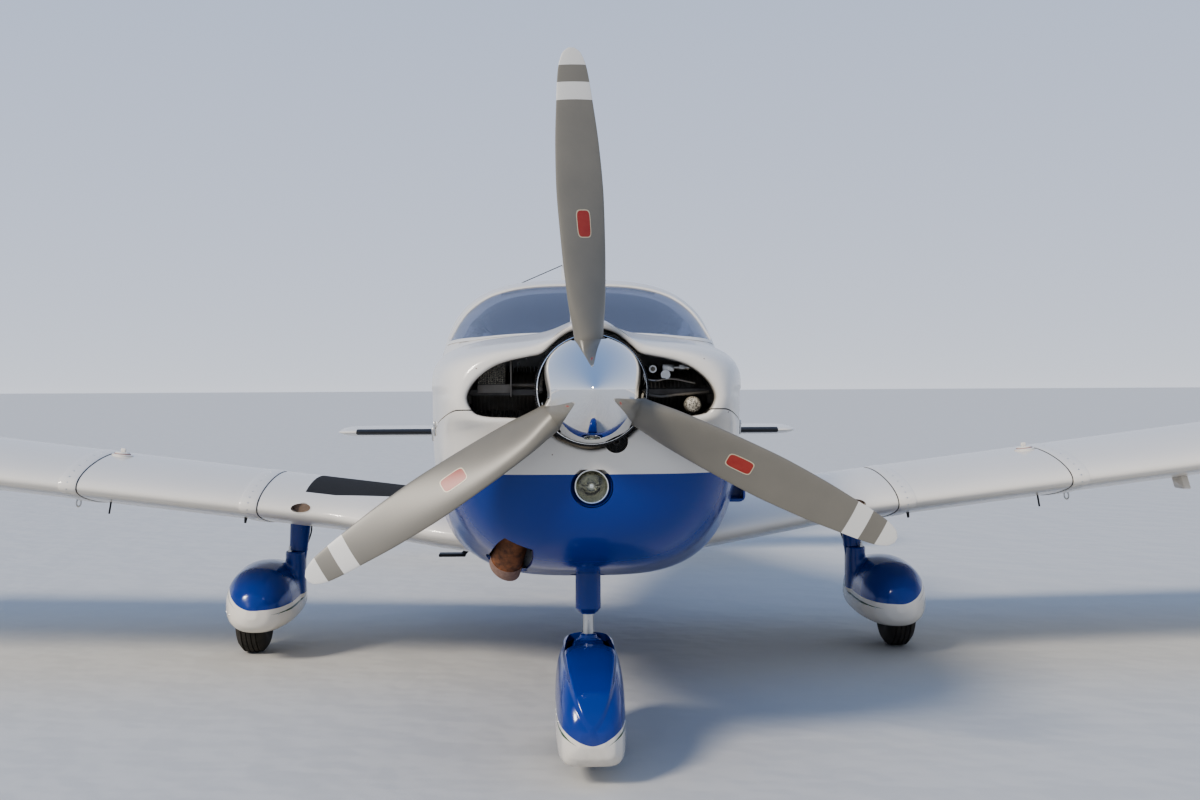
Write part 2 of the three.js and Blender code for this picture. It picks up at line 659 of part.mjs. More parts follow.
function wingSolids() {
  const whole = loft(WING.map((row) => wingRing(...row)));
  const slab = (from, to, front, back) => box([from, front, -400], [to, back, 400]);
  const surfaceAt = (x, station) => {
    const [, lead, chord, thickness, twist] = along(WING, x);
    const share = (station - lead) / chord;
    const turn = THREE.MathUtils.degToRad(twist);
    const [top, bottom] = [1, -1].map((side) => {
      const ring = aerofoil(thickness, WING_CAMBER, 201).filter((_, i) => i < 100 === side > 0);
      const near = ring.reduce((a, b) => (Math.abs(a[0] - share) < Math.abs(b[0] - share) ? a : b));
      return chord * (near[1] * Math.cos(turn) - share * Math.sin(turn));
    });
    return { top, bottom };
  };
  // A flap turns about its lower front edge and an aileron about the middle of its nose.
  const hinge = (surface, place) =>
    [surface.from, surface.to].map((x) => {
      const { top, bottom } = surfaceAt(x, surface.station);
      return vector(x, surface.station, bottom + (top - bottom) * place);
    });
  const nose = (surface, extra) => {
    const [from, to] = hinge(surface, 0.5);
    const { top, bottom } = surfaceAt(surface.from, surface.station);
    return rod(from, to, (top - bottom) / 2 - 3 + extra, undefined, 28);
  };
  const flap = whole.intersect(
    slab(FLAP.from + MOVING_GAP, FLAP.to - MOVING_GAP, FLAP.station + MOVING_GAP, 3700),
  );
  const aileronBody = whole.intersect(
    slab(AILERON.from + MOVING_GAP, AILERON.to - MOVING_GAP, AILERON.station, 3700),
  );
  const aileronNose = nose(
    { ...AILERON, from: AILERON.from + MOVING_GAP, to: AILERON.to - MOVING_GAP }, 0);
  const tank = whole.intersect(slab(TANK.from, TANK.to, 1700, TANK.back));
  const panel = cut(
    whole,
    slab(FLAP.from, FLAP.to, FLAP.station, 3700),
    slab(AILERON.from, AILERON.to, AILERON.station, 3700),
    nose(AILERON, MOVING_GAP),
    slab(TANK.from - JOINT_GAP, TANK.to + JOINT_GAP, 1700, TANK.back + JOINT_GAP),
  );
  const end = WING[WING.length - 1];
  const tip = loft(
    TIP.map(([out, aft, chord, share]) =>
      wingRing(end[0] + out, end[1] + aft, chord, end[3] * share * (WING_CHORD / chord), end[4])),
  );
  return { panel, flap, aileron: join(aileronBody, aileronNose), tank, tip,
    flapHinge: hinge(FLAP, 0), aileronHinge: hinge(AILERON, 0.5) };
}

const wingParts = wingSolids();
const bodyForWing = bodySolid(CABIN_START, CABIN_END, -JOINT_GAP);
const inWingFrame = (solid) =>
  solid.translate([0, 0, -WING_HEIGHT]).rotate([0, THREE.MathUtils.radToDeg(DIHEDRAL), 0]);
const inAirframe = (solid, side = 1) => {
  const set = solid.rotate([0, -THREE.MathUtils.radToDeg(DIHEDRAL), 0]).translate([0, 0, WING_HEIGHT]);
  return side > 0 ? set : set.mirror([1, 0, 0]);
};
const panel = cut(wingParts.panel, inWingFrame(bodyForWing));

for (const [sideName, side] of [['left', 1], ['right', -1]]) {
  const wing = new THREE.Group();
  wing.position.z = WING_HEIGHT;
  wing.rotation.y = -side * DIHEDRAL;
  wing.scale.x = side;
  airframe.add(wing);
  piece(`wing_${sideName}`, panel, 'white', wing);
  piece(`fuel_tank_${sideName}`, wingParts.tank, 'white', wing);
  piece(`wing_tip_${sideName}`, wingParts.tip, 'white', wing);
  piece(`flap_${sideName}`, wingParts.flap, 'white', wing);
  piece(`aileron_${sideName}`, wingParts.aileron, 'white', wing);
}

// Pitot mast, slanting down below the left wing
const PITOT = { x: 2740, thickness: 30 };
const PITOT_SIDE = [[2205, 782], [2318, 782], [2400, 900], [2290, 900]];
const wholeWing = loft(WING.map((row) => wingRing(...row)));
const wingAbove = inAirframe(wholeWing).translate([0, 0, -JOINT_GAP]);
const mast = prism(PITOT_SIDE, PITOT.x - PITOT.thickness / 2, PITOT.x + PITOT.thickness / 2, 14);
piece('pitot_mast', cut(mast, wingAbove), 'white');

// Tail
//
// The fin and rudder together: columns: height, leading edge, trailing edge, thickness.
const FIN = [
  [1120, 5560, 6985, 110],
  [1260, 5640, 6990, 110],
  [1330, 5780, 6996, 108],
  [1430, 5865, 7003, 104],
  [2190, 6390, TAIL_STATION, 70],
  [2222, 6425, TAIL_STATION - 8, 52],
  [2235, 6480, TAIL_STATION - 30, 20],
];
const RUDDER_BASE = 1135;
const RUDDER_HINGE = [[6652, 1000], [6812, 2300]];
const FIN_SIDES = 17;
const finRing = ([height, lead, trail, thickness]) =>
  aerofoil(thickness / (trail - lead), 0, FIN_SIDES).map(([share, y]) =>
    vector(y * (trail - lead), lead + share * (trail - lead), height));
const finWhole = loft(FIN.map(finRing));
const [hingeLow, hingeHigh] = RUDDER_HINGE.map(([s, z]) => vector(0, s, z));
const HINGE_NOSE = { low: 24, high: 27 };
const hingeNose = (extra) => rod(hingeLow, hingeHigh, HINGE_NOSE.low + extra, HINGE_NOSE.high + extra);
const ahead = prism([...RUDDER_HINGE, [5000, 2300], [5000, 1000]], -SIDE, SIDE);
const behind = prism([...RUDDER_HINGE, [7300, 2300], [7300, 1000]], -SIDE, SIDE);
const rudderRoom = box([-SIDE, 5000, RUDDER_BASE], [SIDE, 7300, 2400]);
const rudder = finWhole.intersect(join(behind, hingeNose(0))).intersect(rudderRoom);
const belowRudder = box([-SIDE, 6400, 1000], [SIDE, 7300, RUDDER_BASE - MOVING_GAP]);
const BEACON = { station: 6655, base: 2240, top: 2290, radius: 32 };
const beaconAt = (z) => vector(0, BEACON.station, z);
const beaconPad = rod(beaconAt(BEACON.base - 60), beaconAt(BEACON.base), 10, BEACON.radius);
const tailTop = bodySolid(CABIN_END, TAIL_CONE_END + 2, -JOINT_GAP);
const fin = join(cut(finWhole.intersect(ahead), hingeNose(MOVING_GAP), belowRudder, tailTop), beaconPad);
piece('tail_cone', tailCone, 'white');
piece('fin', fin, 'white');
piece('rudder', rudder, 'white');
piece(
  'beacon',
  join(
    rod(beaconAt(BEACON.base + JOINT_GAP), beaconAt(BEACON.top - 22), BEACON.radius - 4),
    rod(beaconAt(BEACON.top - 22), beaconAt(BEACON.top), BEACON.radius - 4, BEACON.radius / 2),
  ),
  'lamp',
);

// All-moving tailplane. Columns: distance out, leading edge, trailing edge, thickness.
const TAILPLANE = [
  [1640, 6330, 6880, 12],
  [1618, 6262, 6925, 44],
  [1563, 6215, 6950, 66],
  [1468, 6200, 6960, 74],
  [0, 6200, 6960, 78],
];
const TAB = { half: 1180, station: 6838, nose: 11 };
const NOTCH = { half: 152, back: 6604 };
const tailplaneRing = ([x, lead, trail, thickness], side) =>
  aerofoil(thickness / (trail - lead), 0, FIN_SIDES).map(([share, z]) =>
    vector(side * x, lead + share * (trail - lead), TAILPLANE_PIVOT.height + z * (trail - lead)));
const tailplaneWhole = loft([
  ...TAILPLANE.map((row) => tailplaneRing(row, -1)),
  ...TAILPLANE.slice(0, -1).reverse().map((row) => tailplaneRing(row, 1)),
]);
const torqueTube = rod(
  vector(-NOTCH.half - 40, TAILPLANE_PIVOT.station, TAILPLANE_PIVOT.height),
  vector(NOTCH.half + 40, TAILPLANE_PIVOT.station, TAILPLANE_PIVOT.height),
  TORQUE_TUBE,
);
const notch = box([-NOTCH.half, 6000, 700], [NOTCH.half, NOTCH.back, 1200]);
const tabNose = (extra) => rod(
  vector(-TAB.half - extra, TAB.station, TAILPLANE_PIVOT.height),
  vector(TAB.half + extra, TAB.station, TAILPLANE_PIVOT.height),
  TAB.nose + extra,
);
const tabBox = (extra) => box(
  [-TAB.half - extra, TAB.station, 700],
  [TAB.half + extra, 7100, 1200],
);
piece(
  'tailplane',
  join(cut(tailplaneWhole, notch, tabBox(MOVING_GAP), tabNose(MOVING_GAP)), torqueTube),
  'white',
);
piece('tailplane_tab', join(tailplaneWhole.intersect(tabBox(0)), tabNose(0)), 'white');

// Undercarriage
//
// The wheel fairings: the place of the middle, the share of the height that lies below the widest
// line, the roundness above and below it, and the sections. Columns of the sections: station,
// half width, top, bottom.
const MAIN_SPAT = {
  x: 1482,
  waist: 0.37,
  roof: 2.1,
  belly: 2.2,
  rows: [
    [2335, 24, 270, 215],
    [2360, 86, 333, 168],
    [2420, 136, 386, 126],
    [2540, 174, 429, 102],
    [2720, 186, 440, 98],
    [2920, 176, 422, 106],
    [3100, 132, 366, 144],
    [3240, 64, 298, 200],
    [3320, 14, 262, 240],
  ],
};
const NOSE_SPAT = {
  x: 0,
  waist: 0.3,
  roof: 2.45,
  belly: 4.5,
  rows: [
    [175, 40, 190, 140],
    [190, 72, 235, 100],
    [230, 96, 290, 70],
    [320, 108, 345, 63],
    [480, 113, 388, 62],
    [640, 114, 404, 62],
    [800, 108, 392, 72],
    [950, 84, 345, 102],
    [1080, 46, 290, 160],
    [1150, 12, 250, 205],
  ],
};
const SPAT_SIDES = 24;
const SPAT_SKIN = 7;

function spatRing(spat, [station, half, top, bottom], skin) {
  const waist = THREE.MathUtils.lerp(bottom, top, spat.waist);
  return evenAngles(SPAT_SIDES).map((angle) => {
    const [c, s] = [Math.cos(angle), Math.sin(angle)];
    const height = (s > 0 ? top - waist : waist - bottom) - skin;
    const power = s > 0 ? spat.roof : spat.belly;
    const reach = ((Math.abs(c) / (half - skin)) ** power + (Math.abs(s) / height) ** power) ** (-1 / power);
    return vector(spat.x + reach * c, station, waist + reach * s);
  });
}

// A hollow fairing, open below for its tyre.
const WHEEL_ROOM = 13;
function spatShell(spat, axle, tyre) {
  const outer = loft(spat.rows.map((row) => spatRing(spat, row, 0)));
  const room = loft(spat.rows.slice(1, -1).map((row) => spatRing(spat, row, SPAT_SKIN)));
  const [x, half, length] = [axle.x ?? 0, tyre.width / 2 + WHEEL_ROOM, tyre.radius + WHEEL_ROOM];
  const slot = box(
    [x - half, axle.station - length, 60],
    [x + half, axle.station + length, axle.height],
  );
  return { room, shell: cut(outer, room, slot) };
}

// Tyre and rim, turned about the axle: [radius, distance along the axle]
function tyreProfile({ radius, width, rim }) {
  const half = width / 2;
  const side = [[rim, 0.62], [radius * 0.72, 1], [radius * 0.87, 0.88], [radius * 0.96, 0.58], [radius, 0.2]];
  return [
    ...side.map(([r, share]) => [r, -half * share]),
    ...side.toReversed().map(([r, share]) => [r, half * share]),
  ];
}
const AXLE_RADIUS = 16;
function rimProfile({ width, rim }) {
  const half = width / 2;
  const outer = rim - JOINT_GAP;
  return [
    [AXLE_RADIUS + 1, -half * 0.5], [42, -half * 0.4], [outer - 10, -half * 0.62], [outer, -half * 0.62],
    [outer, half * 0.62], [outer - 10, half * 0.62], [42, half * 0.4], [AXLE_RADIUS + 1, half * 0.5],
  ];
}
const WHEEL_SIDES = 24;
const wheelPiece = (profile, x, axle) =>
  turned(profile, WHEEL_SIDES, true).translate([x, axle.station, axle.height]);

// Main legs. A strut comes down out of the wing into a sleeve on the fairing, whose section is
// longer than it is wide, and carries the stub axle on a sliding tube.
const LEG = { strut: 54, slider: 34, sleeve: 66, sleeveTop: 482, sleeveFoot: 215, stretch: 1.35, sides: 20 };
const legAt = (z, x = MAIN_LEG_X) => vector(x, MAIN_AXLE.station, z);
const sleeveSolid = (inwards, low, high) => loft([low, high].map((z) =>
  evenAngles(LEG.sides).map((angle) => {
    const radius = LEG.sleeve - inwards;
    const reach = LEG.sleeve * LEG.stretch - inwards;
    return vector(MAIN_LEG_X + radius * Math.cos(angle), MAIN_AXLE.station + reach * Math.sin(angle), z);
  })));
const stubAxle = (extra) => rod(
  legAt(MAIN_AXLE.height),
  legAt(MAIN_AXLE.height, MAIN_AXLE.x + MAIN_TYRE.width / 2 - 10),
  AXLE_RADIUS + extra,
);
const mainLeg = join(
  rod(legAt(LEG.sleeveTop - 60), legAt(760), LEG.strut),
  rod(legAt(MAIN_AXLE.height - 28), legAt(LEG.sleeveTop - 50), LEG.slider),
  stubAxle(0),
);
const mainShell = spatShell(MAIN_SPAT, MAIN_AXLE, MAIN_TYRE);
const sleeveBore = sleeveSolid(SPAT_SKIN, 150, LEG.sleeveTop + 20);
const sleeve = cut(sleeveSolid(0, LEG.sleeveFoot, LEG.sleeveTop), mainShell.room);
const mainFairing = cut(join(mainShell.shell, sleeve), sleeveBore, stubAxle(2));

for (const [sideName, side] of [['left', 1], ['right', -1]]) {
  const gear = new THREE.Group();
  gear.scale.x = side;
  airframe.add(gear);
  const { x } = MAIN_AXLE;
  piece(`main_leg_${sideName}`, cut(mainLeg, wingAbove), 'blue', gear);
  piece(`main_spat_${sideName}`, mainFairing, 'blue', gear);
  piece(`main_tyre_${sideName}`, wheelPiece(tyreProfile(MAIN_TYRE), x, MAIN_AXLE), 'tyre', gear);
  piece(`main_rim_${sideName}`, wheelPiece(rimProfile(MAIN_TYRE), x, MAIN_AXLE), 'white', gear);
}

// Nose leg: housing, sliding tube with its fork, fairing and wheel
const LEG_FOOT = 489;
const noseAt = (z, x = 0, y = 0) => vector(x, NOSE_AXLE.station + y, z);
const SLIDER = 18;
const legHousing = join(
  rod(noseAt(LEG_FOOT + 14), noseAt(940), LEG_RADIUS),
  rod(noseAt(LEG_FOOT), noseAt(LEG_FOOT + 14), LEG_RADIUS - 12, LEG_RADIUS),
);
piece('nose_leg', cut(legHousing, rod(noseAt(400), noseAt(700), SLIDER + JOINT_GAP)), 'blue');
const FORK_X = NOSE_TYRE.width / 2 + 20;
const fork = join(
  rod(noseAt(400), noseAt(690), SLIDER),
  box([-FORK_X - 7, NOSE_AXLE.station - 40, 382], [FORK_X + 7, NOSE_AXLE.station + 40, 402]),
  ...[-1, 1].map((side) => box(
    [side * FORK_X - 6, NOSE_AXLE.station - 26, NOSE_AXLE.height - 24],
    [side * FORK_X + 6, NOSE_AXLE.station + 26, 390])),
  rod(noseAt(NOSE_AXLE.height, -FORK_X), noseAt(NOSE_AXLE.height, FORK_X), AXLE_RADIUS),
  box([-14, NOSE_AXLE.station + 30, 396], [14, NOSE_AXLE.station + 92, 410]),
  box([-14, NOSE_AXLE.station + 76, 404], [14, NOSE_AXLE.station + 90, 500]),
);
piece('nose_fork', fork, 'steel');
const noseSpat = spatShell(NOSE_SPAT, NOSE_AXLE, NOSE_TYRE).shell;
const forkRoom = box(
  [-FORK_X - 9, NOSE_AXLE.station - 44, 250],
  [FORK_X + 9, NOSE_AXLE.station + 100, 500],
);
piece('nose_spat', cut(noseSpat, forkRoom), 'blue');
piece('nose_tyre', wheelPiece(tyreProfile(NOSE_TYRE), 0, NOSE_AXLE), 'tyre');
piece('nose_rim', wheelPiece(rimProfile(NOSE_TYRE), 0, NOSE_AXLE), 'white');

// Step to the wing walk, below the right side of the cabin
const STEP = { station: 3750, tread: 352, thickness: 16, length: 90 };
const step = join(
  box(
    [-735, STEP.station - STEP.length / 2, STEP.tread - STEP.thickness],
    [-590, STEP.station + STEP.length / 2, STEP.tread],
  ),
  rod(vector(-606, STEP.station, STEP.tread - 8), vector(-430, STEP.station - 30, 640), 13, 13, 10),
);
piece('entry_step', cut(step, bodySolid(CABIN_START, CABIN_END, -JOINT_GAP)), 'black');

// Cabin furniture
const cabinRoom = bodySolid(CABIN_START, CABIN_END, WALL + 2, FLOOR_DEPTH + JOINT_GAP);
const PANEL_SIDE = [[1800, 1010], [1830, 1010], [1870, 1385], [1660, 1420], [1640, 1400], [1800, 1370]];
const panelBoard = prism(PANEL_SIDE, -SIDE, SIDE);
const yoke = (x) => join(
  rod(vector(x, 1820, 1195), vector(x, 2010, 1215), 11, 11, 10),
  box([x - 130, 2004, 1200], [x + 130, 2022, 1232]),
  box([x - 138, 2000, 1200], [x - 112, 2026, 1310]),
  box([x + 112, 2000, 1200], [x + 138, 2026, 1310]),
);
piece('instrument_panel', join(panelBoard.intersect(cabinRoom), yoke(-265), yoke(265)), 'black');

const SEAT_SIDE = [
  [2235, 760], [2230, 905], [2300, 935], [2650, 900], [2760, 1385], [2830, 1400], [2860, 1360], [2760, 760],
];
const REAR_SIDE = [
  [3080, 700], [3075, 900], [3140, 925], [3470, 890], [3600, 1340], [3665, 1345], [3690, 1300], [3600, 700],
];
const seatFloor = along(FUSELAGE, 2500)[4] + FLOOR_DEPTH;
const frontSeat = (x) => join(
  prism(SEAT_SIDE, x - 225, x + 225, 40, 3),
  box([x - 190, 2320, seatFloor - 10], [x + 190, 2700, 765]),
).intersect(cabinRoom);
piece('seat_front_left', frontSeat(268), 'seat');
piece('seat_front_right', frontSeat(-268), 'seat');
piece('rear_seat', prism(REAR_SIDE, -455, 455, 40, 3).intersect(cabinRoom), 'seat');

export { airframe as default };
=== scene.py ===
import json
import math
from itertools import accumulate

import bmesh
import bpy
import numpy
from mathutils import Matrix, Vector
from mathutils.geometry import interpolate_bezier

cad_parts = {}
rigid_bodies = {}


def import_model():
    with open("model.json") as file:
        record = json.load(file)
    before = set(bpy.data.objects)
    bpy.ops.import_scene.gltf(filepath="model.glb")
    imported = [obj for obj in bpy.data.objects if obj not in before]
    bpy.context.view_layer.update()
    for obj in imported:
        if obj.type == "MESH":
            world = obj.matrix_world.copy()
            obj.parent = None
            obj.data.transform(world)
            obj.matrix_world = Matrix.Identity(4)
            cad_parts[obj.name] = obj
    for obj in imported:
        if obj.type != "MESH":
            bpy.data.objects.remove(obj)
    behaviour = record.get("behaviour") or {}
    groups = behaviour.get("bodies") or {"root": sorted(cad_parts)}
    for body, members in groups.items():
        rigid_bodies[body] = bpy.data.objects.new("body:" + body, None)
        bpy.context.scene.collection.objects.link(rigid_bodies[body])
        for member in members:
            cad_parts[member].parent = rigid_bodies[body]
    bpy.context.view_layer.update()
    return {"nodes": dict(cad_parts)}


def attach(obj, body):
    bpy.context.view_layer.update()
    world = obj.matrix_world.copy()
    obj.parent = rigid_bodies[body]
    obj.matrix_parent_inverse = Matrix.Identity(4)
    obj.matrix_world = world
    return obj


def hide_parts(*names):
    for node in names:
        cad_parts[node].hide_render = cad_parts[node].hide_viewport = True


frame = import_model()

# Studio: the aircraft stands on a plain pale floor under an even, faintly blue sky, with one
# large soft light ahead of its right wing. The camera stands before the propeller, at its height.
CAMERA_PLACE = (-0.125, -7.84, 1.26)
CAMERA_LENS = 44.88
CAMERA_YAW, CAMERA_PITCH, CAMERA_ROLL = (math.radians(a) for a in (-1.90, 89.46, -0.3))
FLOOR_COLOUR = (0.62, 0.61, 0.58)
SKY_LOW, SKY_HIGH = (0.66, 0.69, 0.76), (0.20, 0.30, 0.52)


def node(tree, kind, inputs=None, **settings):
    """Adds a shader node, with its sockets set or linked, and returns its first output."""
    added = tree.nodes.new("ShaderNode" + kind)
    for name, value in settings.items():
        setattr(added, name, value)
    for key, value in (inputs or {}).items():
        if isinstance(value, bpy.types.NodeSocket):
            tree.links.new(value, added.inputs[key])
        else:
            added.inputs[key].default_value = value
    return added.outputs[0]


def calc(tree, operation, *values):
    return node(tree, "Math", dict(enumerate(values)), operation=operation)


def surface(name, colour, roughness, **sockets):
    """A material with one shader; each named socket is one of the shader's own."""
    material = bpy.data.materials.new(name)
    material.use_nodes = True
    shader = material.node_tree.nodes["Principled BSDF"]
    shader.inputs["Base Color"].default_value = (*colour, 1)
    shader.inputs["Roughness"].default_value = roughness
    for socket, value in sockets.items():
        shader.inputs[socket.replace("_", " ")].default_value = value
    return material, material.node_tree


def feed(tree, socket, source):
    """Links a node's output to a socket of the shader."""
    tree.links.new(source, tree.nodes["Principled BSDF"].inputs[socket])


def source_of(tree, socket):
    return tree.nodes["Principled BSDF"].inputs[socket].links[0].from_socket


def texture(tree, kind, **values):
    """A texture in the piece's own coordinates; capital names are sockets, the others settings."""
    sockets = {key: value for key, value in values.items() if key.istitle()}
    settings = {key: value for key, value in values.items() if key.islower()}
    sockets["Vector"] = node(tree, "TexCoord").node.outputs[3]
    return node(tree, "Tex" + kind, sockets, **settings)


def noise(tree, scale, detail=2.0, **values):
    return texture(tree, "Noise", Scale=scale, Detail=detail, **values)


def ranged(tree, value, start, end, low=0.0, high=1.0):
    """Where a value lies between a start and an end, as a share or as a value between two others."""
    return node(tree, "MapRange", {
        "Value": value, "From Min": start, "From Max": end, "To Min": low, "To Max": high})


def blended(tree, share, *colours):
    """Mixes two colours by a share; each is a tuple or another node's output."""
    first, second = (c if isinstance(c, bpy.types.NodeSocket) else (*c, 1) for c in colours)
    return node(tree, "Mix", {0: share, 6: first, 7: second}, data_type="RGBA").node.outputs[2]


def tinted(tree, share, first, second):
    feed(tree, "Base Color", blended(tree, share, first, second))


def bumped(tree, height, strength, depth=0.001):
    feed(tree, "Normal", node(tree, "Bump", {"Height": height, "Strength": strength, "Distance": depth}))


camera = bpy.data.objects.new("Camera", bpy.data.cameras.new("Camera"))
camera.data.lens = CAMERA_LENS
camera.matrix_world = (
    Matrix.Translation(CAMERA_PLACE)
    @ Matrix.Rotation(CAMERA_YAW, 4, "Z")
    @ Matrix.Rotation(CAMERA_PITCH, 4, "X")
    @ Matrix.Rotation(CAMERA_ROLL, 4, "Z")
)
bpy.context.scene.collection.objects.link(camera)
bpy.context.scene.camera = camera

world = bpy.data.worlds.new("studio_sky")
bpy.context.scene.world = world
world.use_nodes = True
tree = world.node_tree
upward = node(tree, "SeparateXYZ", {0: node(tree, "TexCoord")}).node.outputs[2]
rise = calc(tree, "POWER", calc(tree, "MAXIMUM", upward, 0.0), 0.55)
tree.links.new(blended(tree, rise, SKY_LOW, SKY_HIGH), tree.nodes["Background"].inputs[0])
tree.nodes["Background"].inputs[1].default_value = 1.15
bpy.context.scene.view_settings.look = "AgX - Medium High Contrast"

sun = bpy.data.objects.new("soft_sun", bpy.data.lights.new("soft_sun", "SUN"))
sun.data.energy, sun.data.angle, sun.data.color = 2.6, math.radians(13), (1, 0.92, 0.80)
sun.rotation_euler = Vector((8, 9, -8)).to_track_quat("-Z", "Y").to_euler()
bpy.context.scene.collection.objects.link(sun)

bm = bmesh.new()
bmesh.ops.create_grid(bm, x_segments=1, y_segments=1, size=400)
floor = bpy.data.objects.new("floor", bpy.data.meshes.new("floor"))
bm.to_mesh(floor.data)
bm.free()
bpy.context.scene.collection.objects.link(floor)
material, tree = surface("pale_floor", FLOOR_COLOUR, 0.85)
bumped(tree, noise(tree, 3.0), 0.05, 1.0)
floor.data.materials.append(material)

# Cowl: two pressed aluminium halves round the engine. The upper one rolls forward over a pair of
# kidney-shaped inlets with thick lips, the lower one holds the lamp, and a seam parts them.
# Shapes are drawn in millimetres by station, the distance aft of the propeller's plane. PLACE
# carries them from the drawing to the scene, and DRAWING carries them back.
ORIGIN_STATION = 3410
HUB_HEIGHT = 1250
FIREWALL = 1105
PLACE = Matrix.Scale(0.001, 4) @ Matrix.Translation((0, -ORIGIN_STATION, 0))
DRAWING = PLACE.inverted()
SIDES = (("left", 1), ("right", -1))
# Columns: station, half width, top, waist, bottom, roundness of the roof, roundness of the
# belly, height of the ridge along the top of the cowl.
FUSELAGE = (
    (104, 460, 1388, HUB_HEIGHT, 712, 3.2, 2.6, 84),
    (480, 498, 1412, HUB_HEIGHT, 652, 3.2, 3.0, 72),
    (760, 531, 1432, HUB_HEIGHT, 602, 3.2, 3.3, 60),
    (1105, 556, 1448, HUB_HEIGHT, 568, 3.0, 3.6, 30),
    (1480, 574, 1458, HUB_HEIGHT, 553, 3.0, 4.3, 0),
    (1560, 576, 1492, HUB_HEIGHT, 551, 3.0, 4.3, 0),
    (1700, 579, 1572, HUB_HEIGHT, 549, 3.0, 4.3, 0),
    (1850, 581, 1650, HUB_HEIGHT, 548, 3.0, 4.3, 0),
    (2000, 582, 1704, HUB_HEIGHT, 547, 3.1, 4.3, 0),
    (2150, 583, 1726, HUB_HEIGHT, 546, 3.1, 4.3, 0),
    (2400, 584, 1738, HUB_HEIGHT, 545, 3.1, 4.3, 0),
    (2850, 582, 1742, HUB_HEIGHT, 545, 3.1, 4.0, 0),
    (3300, 556, 1712, 1240, 554, 2.9, 3.6, 0),
    (3800, 496, 1612, 1200, 590, 2.7, 3.0, 0),
    (4350, 408, 1492, 1140, 648, 2.4, 2.7, 0),
    (5200, 272, 1375, 1075, 742, 2.2, 2.4, 0),
    (6000, 150, 1272, 1045, 822, 2.1, 2.2, 0),
    (6560, 82, 1208, 1035, 872, 2.0, 2.0, 0),
)
RIDGE_SPREAD = 0.58
# Half of the opening's outline about the hub: distance out, height.
INLET = (
    (0, 187), (70, 172), (118, 136), (150, 109), (196, 99), (245, 89), (290, 74), (330, 49),
    (362, 17), (379, -20), (372, -50), (350, -74), (310, -83), (262, -85), (212, -88),
    (166, -94), (140, -120), (92, -157), (0, -184),
)
LIP_STATION, LIP_RADIUS, LIP_DEPTH = 104, 11, 90
ROLL_END = 480
COWL_SKIN = 9
COWL_SIDES = 176
SPLIT_LINE = ((0, 1194), (118, 1188), (230, 1166), (480, 1130), (1300, 1062))
SEAM = 1.6
# The white carries a cream tint that is painted warm light of a low sun.
SUN_WARMED_WHITE, BLUE, GREEN = (0.8, 0.755, 0.675), (0.004, 0.033, 0.235), (0.025, 0.085, 0.03)
GLOSS = {"roughness": 0.22, "Coat_Weight": 0.3, "Coat_Roughness": 0.04, "Specular_IOR_Level": 0.42}
BLUE_LINE = ((0, 993), (700, 990), (1500, 965), (3000, 925), (4600, 905), (5800, 945), (7100, 1010))
LINE_LENGTH, LINE_HEIGHT = 7100, 1100


def along(table, place):
    """A table's row at any place along it, each column on a smooth curve between its rows."""
    last = len(table) - 1
    i = min(max(sum(row[0] <= place for row in table) - 1, 0), last - 1)
    span = table[i + 1][0] - table[i][0]
    t = min(max((place - table[i][0]) / span, 0), 1)

    def tangent(k, c):
        slopes = [
            (table[j + 1][c] - table[j][c]) / (table[j + 1][0] - table[j][0])
            for j in (k - 1, k)
            if 0 <= j < last
        ]
        if len(slopes) == 1:
            return slopes[0]
        before, after = slopes
        return 0 if before * after <= 0 else 2 * before * after / (before + after)

    return [
        (2 * t**3 - 3 * t**2 + 1) * table[i][c]
        + (t**3 - 2 * t**2 + t) * tangent(i, c) * span
        + (3 * t**2 - 2 * t**3) * table[i + 1][c]
        + (t**3 - t**2) * tangent(i + 1, c) * span
        for c in range(len(table[0]))
    ]


def body_ring(station, angles, skin=0, floor=None):
    """A cross-section of the fuselage, drawn in from its surface by a distance."""
    _, half, top, waist, bottom, roof, belly, ridge = along(FUSELAGE, station)
    ring = []
    for angle in angles:
        c, s = math.cos(angle), math.sin(angle)
        low = skin if floor is None else floor
        height = top - skin - waist if s > 0 else waist - bottom - low
        power = roof if s > 0 else belly
        reach = ((abs(c) / (half - skin)) ** power + (abs(s) / height) ** power) ** (-1 / power)
        reach += ridge * math.exp(-((c / RIDGE_SPREAD) ** 2)) if s > 0 else 0
        ring.append(Vector((reach * c, station, waist + reach * s)))
    return ring


def even_angles(count):
    return [(i + 0.5) * math.tau / count for i in range(count)]


def even_steps(start, end, pace):
    count = max(1, round(abs(end - start) / pace))
    return [start + (end - start) * i / count for i in range(count + 1)]


def made(name, bm, place=PLACE):
    """Turns a shape drawn by station into an object of the scene."""
    bm.transform(place)
    mesh = bpy.data.meshes.new(name)
    bm.to_mesh(mesh)
    bm.free()
    thing = bpy.data.objects.new(name, mesh)
    bpy.context.scene.collection.objects.link(thing)
    return thing


def loft(name, rings, looped=False):
    """A closed skin through rings of points; a looped one is bent round on itself."""
    across = len(rings[0])
    bm = bmesh.new()
    bmesh.ops.create_grid(
        bm, x_segments=across, y_segments=len(rings) - (0 if looped else 1), size=1)
    for i, vertex in enumerate(bm.verts):
        row, column = divmod(i, across + 1)
        vertex.co = rings[row % len(rings)][column % across]
    bmesh.ops.remove_doubles(bm, verts=bm.verts, dist=1e-4)
    if not looped:
        bmesh.ops.holes_fill(bm, edges=[e for e in bm.edges if e.is_boundary], sides=0)
    bmesh.ops.recalc_face_normals(bm, faces=bm.faces)
    return made(name, bm)


